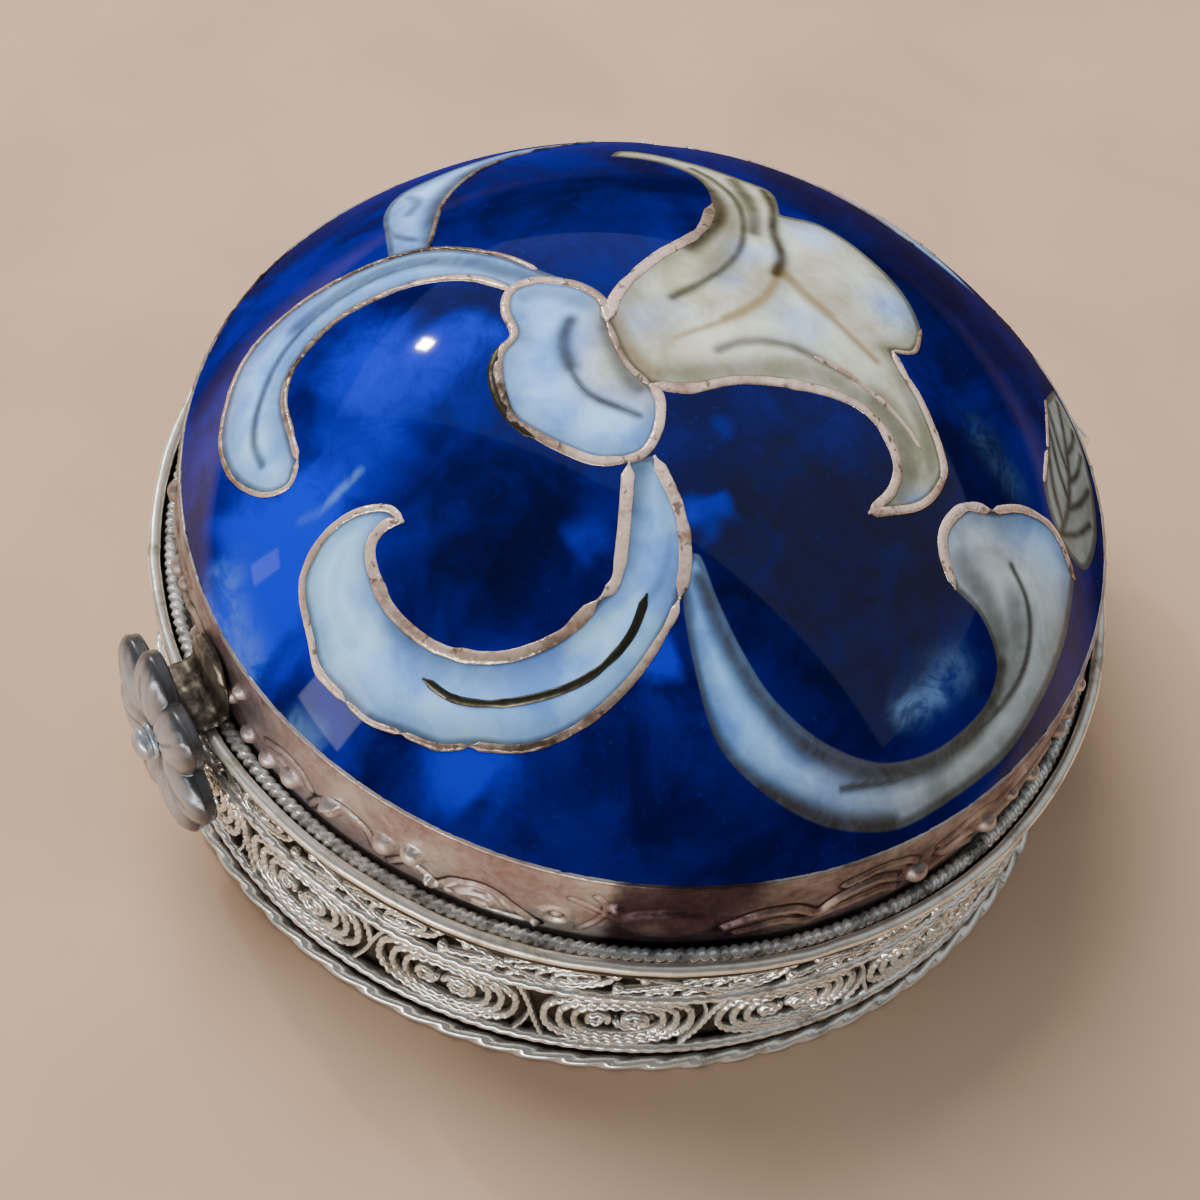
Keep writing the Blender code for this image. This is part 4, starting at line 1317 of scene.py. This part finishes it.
def flower_rings():
    """The flower's front and side as rings of points, x and y in its plane and z outward.

    Each petal is an oval that reaches from near the middle to the edge. The second result is the
    painted light and shade on each point: bright on the swell, dark in the groove and on the sides.
    """
    petals, per_petal = 7, 40
    radius = (flower_high[0] - flower_low[0]) / 2
    depth = flower_high[1] - flower_low[1]
    wall = 0.34 * depth
    rise = depth - wall
    petal_start = 0.45
    half_long, half_wide = (radius - petal_start) / 2, 1.76
    middle = radius - half_long
    turns = np.arange(petals * per_petal) / (petals * per_petal) * math.tau
    off_axis = (turns + math.pi / petals) % (math.tau / petals) - math.pi / petals
    c, s = np.cos(off_axis), np.sin(off_axis)
    squares = (c / half_long) ** 2 + (s / half_wide) ** 2
    cross = c * middle / half_long ** 2
    under_root = np.maximum(cross ** 2 - squares * ((middle / half_long) ** 2 - 1), 0)
    outline = (cross + np.sqrt(under_root)) / squares
    rings, petal_light_levels = [], []
    for share in np.r_[np.linspace(0.06, 0.88, 24), 0.91, 0.94, 0.96, 0.975, 0.988, 0.996, 1.0]:
        ahead, beside = outline * share * c, outline * share * s
        inside = np.clip(1 - ((ahead - middle) / half_long) ** 2 - (beside / half_wide) ** 2, 0, 1)
        dome = inside ** 0.58
        groove_ends = np.clip(4.4 - ahead, 0, 1) * np.clip(ahead - 0.8, 0, 1)
        groove = 0.20 * np.exp(-(beside / 0.15) ** 2) * groove_ends
        veins = 0.05 * np.cos(beside / 0.36 * math.pi) * dome * np.clip((ahead - 1.0) / 1.2, 0, 1)
        height = wall + rise * dome - groove * np.clip(dome * 2, 0, 1) + veins
        rings.append(round_the_middle(outline * share, turns, height))
        # Painted light and shade: bright on the petal's swell, dark in its groove
        in_groove = np.exp(-(beside / 0.12) ** 2) * (ahead < 4.2)
        petal_light_levels.append(np.clip(dome * 1.5 - 0.45, 0, 1) * (1 - 0.8 * in_groove))
    # The petals' sides get the darkest painted shade
    for share, height in ((0.995, wall - 0.06), (0.985, wall * 0.5), (0.985, 0.12), (0.97, 0.0)):
        rings.append(round_the_middle(outline * share, turns, np.full(len(turns), height)))
        petal_light_levels.append(np.zeros(len(turns)))
    return np.stack(rings), np.stack(petal_light_levels)


def round_the_middle(reach, turns, height):
    return np.column_stack([reach * np.cos(turns), reach * np.sin(turns), height])


def clasp_flower():
    """The flower, stood up at the front of the box."""
    rings, petal_light_levels = flower_rings()
    flat, faces = capped_tube(rings)
    middle = (flower_low[2] + flower_high[2]) / 2
    places = np.column_stack([flat[:, 0], flower_high[1] - flat[:, 2], middle + flat[:, 1]])
    flower = mesh_piece("flower", places, faces, petal_silver)
    # The petals' painted light and shade, for their shader to read
    point_attributes(flower, raised=petal_light_levels)
    return placed(tidy_normals(flower, 1e-9), "lid", "silver", "clasp_flower")


def flower_bead():
    """A flattened ball on a low collar."""
    middle = (bead_low + bead_high) / 2
    collar = 0.16
    radius = (bead_high[2] - bead_low[2]) / 2
    half_depth = (bead_high[1] - bead_low[1]) / 2
    bpy.ops.object.select_all(action="DESELECT")
    bpy.ops.mesh.primitive_uv_sphere_add(
        segments=40, ring_count=24, radius=radius * mm, rotation=(math.pi / 2, 0, 0))
    bead = apply_place(named(bpy.context.object, "flower_bead"))
    set_points(bead, points_of(bead) * (1, half_depth / radius, 1) + middle)
    bpy.ops.object.select_all(action="DESELECT")
    bpy.ops.mesh.primitive_torus_add(
        major_radius=(radius - 0.02) * mm, minor_radius=collar * mm, major_segments=40, minor_segments=10,
        location=(middle[0] * mm, (bead_high[1] - 0.12) * mm, middle[2] * mm), rotation=(math.pi / 2, 0, 0))
    apply_place(bpy.context.object)
    bead.select_set(True)
    bpy.context.view_layer.objects.active = bead
    bpy.ops.object.join()
    bead.data.shade_smooth()
    paint(bead, petal_silver)
    # The bead takes the brightest painted light all over
    point_attributes(bead, raised=np.ones(len(bead.data.vertices)))
    return placed(bead, "lid", "silver", "clasp_bead")


def clasp_strap():
    """The dark tongue from the border over the rope, and down behind the flower."""
    half_wide = (strap_high[0] - strap_low[0]) / 2
    half_thick = strap_thickness / 2
    inner_y, outer_y = strap_high[1] - half_thick, strap_low[1] + half_thick
    low, high = strap_low[2], strap_high[2]
    spacing = 0.12
    centre_line = [
        (inner_y, high), (inner_y, high - 1.2), (inner_y - 0.05, over_rim + 0.7),
        (inner_y - 0.5, over_rim + half_thick + 0.05), (outer_y + 0.35, over_rim + half_thick),
        (outer_y, over_rim - 0.3), (outer_y, low + 2.0), (outer_y, low)]
    line = smooth_line(centre_line, spacing=spacing)
    forward = np.gradient(line, axis=0)
    forward /= np.linalg.norm(forward, axis=1)[:, None]
    outward = np.column_stack([forward[:, 1], -forward[:, 0]])
    gone = np.arange(len(line)) * spacing
    wide = half_wide * np.clip(0.35 + 0.65 * np.sqrt(np.clip(gone / 1.6, 0, 1)), 0, 1)
    wide *= np.clip(0.5 + 0.5 * np.sqrt(np.clip((gone[-1] - gone) / 1.5, 0, 1)), 0, 1)
    sides = np.linspace(-1, 1, 17)
    rings = []
    lifts = half_thick * np.sqrt(np.maximum(1 - np.abs(sides) ** 6, 0.0))
    for side, lift in zip(sides, lifts):
        rib = 0.10 * math.exp(-(side / 0.16) ** 2)
        bumps = 0.05 * wobble(gone * 3.2 + side * 2.6, 4) + 0.03 * wobble(gone * 7.0 - side * 5.0, 2)
        rings.append(np.column_stack([wide * side, line + outward * (lift + rib + bumps)[:, None]]))
    for side, lift in zip(sides[::-1], lifts[::-1]):
        rings.append(np.column_stack([wide * side, line - outward * lift]))
    points, faces = capped_tube(np.stack(rings, 1))
    strap = mesh_piece("strap", points, faces, strap_bronze)
    return placed(tidy_normals(strap, 1e-9), "lid", "dark_silver", "clasp_strap")


def arc_points(middle, radius, start, end, steps=36):
    """Points (y, z) round the hinge's pin, from one angle in degrees to another."""
    angles = np.radians(np.linspace(start, end, steps + 1))
    return [(middle[1] + radius * math.cos(a), middle[2] + radius * math.sin(a)) for a in angles]


def knuckle(node, outline, bore, body):
    """A rolled strip of silver, cut from its (y, z) outline, with softened edges."""
    low, high = box_mm(node)
    curve = bpy.data.curves.new(node + "_silver", "CURVE")
    curve.dimensions = "2D"
    curve.fill_mode = "BOTH"
    curve.extrude = (high[0] - low[0]) / 2 * mm
    for line in (outline, bore):
        spline = curve.splines.new("POLY")
        spline.points.add(len(line) - 1)
        for point, (across, up) in zip(spline.points, line):
            point.co = (across * mm, up * mm, 0.0, 1.0)
        spline.use_cyclic_u = True
    piece = in_scene(node + "_silver", curve)
    piece.location.x = (high[0] + low[0]) / 2 * mm
    piece.rotation_euler = (math.pi / 2, 0.0, math.pi / 2)
    select_only(piece)
    bpy.ops.object.convert(target="MESH")
    piece = tidy_normals(apply_place(named(bpy.context.object, node + "_silver")))
    paint(bevelled(piece, 0.07, 2, 30), plain_silver)
    return placed(piece, body, "silver", node)


def rivet(name, place, body):
    """A flat-headed pin of silver in a leaf of the hinge."""
    bpy.ops.object.select_all(action="DESELECT")
    bpy.ops.mesh.primitive_uv_sphere_add(segments=24, ring_count=12, radius=rivet_radius * mm)
    head = named(bpy.context.object, name)
    set_points(head, points_of(head) * (1, 0.5, 1) + place)
    head.data.shade_smooth()
    return placed(paint(head, plain_silver), body, "silver")


def hinge():
    """Three rolled knuckles on leaves, a rivet in each leaf, and the pin through them."""
    middle = (pin_low + pin_high) / 2
    base_low, base_high = box_mm("hinge_knuckle_left")
    lid_low, lid_high = box_mm("hinge_knuckle_lid")
    barrel = base_high[1] - middle[1]
    bore = arc_points(middle, hinge_bore, 0, 345, 23)
    leaf_back = middle[1] - barrel + leaf_thickness
    meeting = math.degrees(math.acos((leaf_back - middle[1]) / barrel))
    base_outline = arc_points(middle, barrel, -meeting, 180) + [
        (base_low[1], base_low[2]), (leaf_back, base_low[2])]
    lid_front = lid_low[1] + leaf_thickness
    leaf_top = over_rim + leaf_thickness
    lid_outline = arc_points(middle, barrel, 160, 440) + [
        (middle[1] - 0.15, leaf_top), (lid_front, leaf_top), (lid_front, lid_high[2]),
        (lid_low[1], lid_high[2]), (lid_low[1], over_rim), (middle[1] - barrel, over_rim)]
    for node in ("hinge_knuckle_left", "hinge_knuckle_right"):
        knuckle(node, base_outline, bore, "base")
        low, high = box_mm(node)
        rivet(node + "_rivet", ((low[0] + high[0]) / 2, leaf_back, base_low[2] + 1.3), "base")
    knuckle("hinge_knuckle_lid", lid_outline, bore, "lid")
    rivet("lid_rivet", (middle[0], lid_front, lid_high[2] - 0.8), "lid")
    bpy.ops.object.select_all(action="DESELECT")
    bpy.ops.mesh.primitive_cylinder_add(
        vertices=40, radius=hinge_pin_radius * mm, depth=(pin_high[0] - pin_low[0]) * mm,
        location=tuple(middle * mm), rotation=(0, math.pi / 2, 0))
    pin = apply_place(named(bpy.context.object, "hinge_rod"))
    bevelled(paint(pin, plain_silver), 0.12, 3)
    return placed(pin, "base", "silver", "hinge_pin")


def wire_rings():
    """The rope on the lid, the plain rim wire, and the three twisted wires round the base."""
    rope = twisted_ring(
        "rope", rope_high[0] - rope_wire / 2, (rope_low[2] + rope_high[2]) / 2, rope_wire, 2, 0.50, 0.40,
        2800, 10, rope_silver)
    placed(rope, "lid", "dark_silver", "lid_rope")
    rim = plain_ring("rim", rim_radius, rim_height, rim_wire, 480, 14, plain_silver)
    placed(rim, "base", "silver", "rim_wire")
    twisted = [
        ("middle_wire", "mid_wire", mid_low, mid_high, band_wire, 0.80, 0.24, 2000, 10),
        ("low_wire", "lower_wire", lower_low, lower_high, band_wire, 0.80, 0.24, 2000, 10),
        ("foot", "foot_wire", foot_low, foot_high, foot_wire, 2.0, 0.50, 1600, 12),
    ]
    for name, node, low, high, thickness, pitch, depth, around, across in twisted:
        ring = twisted_ring(
            name, high[0] - thickness / 2, (low[2] + high[2]) / 2, thickness, 2, pitch, depth,
            around, across, silver_wire)
        placed(ring, "base", "silver", node)


# The stage, the camera and the lights

# The middle of the camera's view of the floor, and where the cloth's painted shade starts and ends, in metres
floor_middle = (-0.012, 0.008, 0.0)
floor_fade = (0.19, 0.42)


def stage_floor():
    """A pale cloth with painted shade, which darkens it where only low views see it."""
    bpy.ops.object.select_all(action="DESELECT")
    bpy.ops.mesh.primitive_plane_add(size=3.0, location=(0, 0, 0))
    floor = bpy.context.object
    floor.name = "floor"
    material, tree, shader = new_material("floor_cloth")
    place = object_place(tree)
    soft = remap(tree, noise(tree, place, 60.0, 3.0, 0.5, 0.4), 0.3, 0.7)
    cloth = blend_colour(tree, soft, (0.385, 0.262, 0.180), (0.43, 0.297, 0.207))
    apart = tree.nodes.new("ShaderNodeVectorMath")
    apart.operation = "DISTANCE"
    tree.links.new(place, apart.inputs[0])
    apart.inputs[1].default_value = floor_middle
    # Painted shade: the cloth darkens away from the middle of the view
    far = remap(tree, apart.outputs["Value"], *floor_fade)
    tree.links.new(blend_colour(tree, far, cloth, (0.20, 0.145, 0.11)), shader.inputs["Base Color"])
    shader.inputs["Roughness"].default_value = 0.85
    shader.inputs["Specular IOR Level"].default_value = 0.1
    paint(floor, material)


# The camera, fitted to the round edges of the box: millimetres, degrees and shares of the frame
camera_distance = 111.64
camera_azimuth = 50
camera_elevation = 52.12
camera_roll = 12.92
camera_lens = 66.0
camera_shift = (-0.0319, -0.0533)


def direction(azimuth, elevation):
    """A unit vector: azimuth 0 is in front of the box, at -Y, and 90 is at +X."""
    a, e = math.radians(azimuth), math.radians(elevation)
    return Vector((math.sin(a) * math.cos(e), -math.cos(a) * math.cos(e), math.sin(e)))


def stage_camera():
    """Looks at the middle of the rim, and is rolled as the photograph is."""
    data = bpy.data.cameras.new("camera")
    data.lens = camera_lens
    data.sensor_width = 36.0
    data.shift_x, data.shift_y = camera_shift
    data.clip_start = 0.005
    data.clip_end = 10.0
    camera = in_scene("camera", data)
    back = direction(camera_azimuth, camera_elevation)
    right = Vector((0, 0, 1)).cross(back).normalized()
    up = back.cross(right)
    roll = math.radians(camera_roll)
    c, s = math.cos(roll), math.sin(roll)
    rolled_right, rolled_up = right * c + up * s, up * c - right * s
    axes = Matrix((rolled_right, rolled_up, back)).transposed()
    place = Vector((0, 0, rim_height * mm)) + back * camera_distance * mm
    camera.matrix_world = Matrix.Translation(place) @ axes.to_4x4()
    bpy.context.scene.camera = camera


def panel_light(name, azimuth, elevation, distance, width, height, power, colour):
    """A softbox that faces the box: degrees, metres and watts."""
    data = bpy.data.lights.new(name, "AREA")
    data.shape = "RECTANGLE"
    data.size, data.size_y = width, height
    data.energy = power
    data.color = colour
    light = in_scene(name, data)
    toward = direction(azimuth, elevation)
    light.location = toward * distance
    light.rotation_mode = "QUATERNION"
    light.rotation_quaternion = toward.to_track_quat("Z", "Y")
    return light


def stage_lights():
    """Two broad lights that make no reflections, and panes, cards and glints that do."""
    key = panel_light("key_soft", -80, 50, 0.60, 0.40, 0.40, 7.6, (1.0, 0.97, 0.93))
    key.visible_glossy = False
    fill = panel_light("fill_soft", 30, 80, 1.00, 1.20, 1.20, 6.0, (0.97, 0.98, 1.0))
    fill.visible_glossy = False
    panel_light("key_small", -76, 34, 0.60, 0.020, 0.024, 0.9, (1.0, 0.97, 0.94))
    panel_light("low_pane_left", -34, 13, 0.60, 0.04, 0.07, 0.018, (0.80, 0.84, 1.0))
    panel_light("low_pane_right", -4, 17, 0.60, 0.13, 0.13, 0.20, (0.80, 0.84, 1.0))
    panel_light("front_card", 34, 3, 0.60, 0.60, 0.10, 2.3, (1.0, 0.99, 0.97))
    for azimuth in (14, 36):
        panel_light(f"glint_{azimuth}", azimuth, 5, 0.60, 0.030, 0.024, 0.20, (1.0, 1.0, 0.98))
    ceiling = panel_light("ceiling", 0, 90, 0.50, 2.30, 0.98, 2.7, (0.84, 0.93, 1.0))
    ceiling.location = (-0.18, 0.425, 0.50)
    ceiling.rotation_mode = "XYZ"
    ceiling.rotation_euler = (0, 0, math.radians(29.4))
    world = bpy.data.worlds.new("room")
    world.use_nodes = True
    background = world.node_tree.nodes["Background"]
    background.inputs["Color"].default_value = (0.9, 0.92, 1.0, 1.0)
    background.inputs["Strength"].default_value = 0.035
    bpy.context.scene.world = world


stage_camera()
stage_floor()
stage_lights()
enamel_dome()
dome_lines("copper_lines", copper_lines, copper_line, "enamel")
dome_lines("dark_lines", dark_lines, vein_metal, "enamel")
lid_border()
lid_lining()
wire_rings()
filigree_panels()
upper_band()
base_cup()
clasp_flower()
flower_bead()
clasp_strap()
hinge()
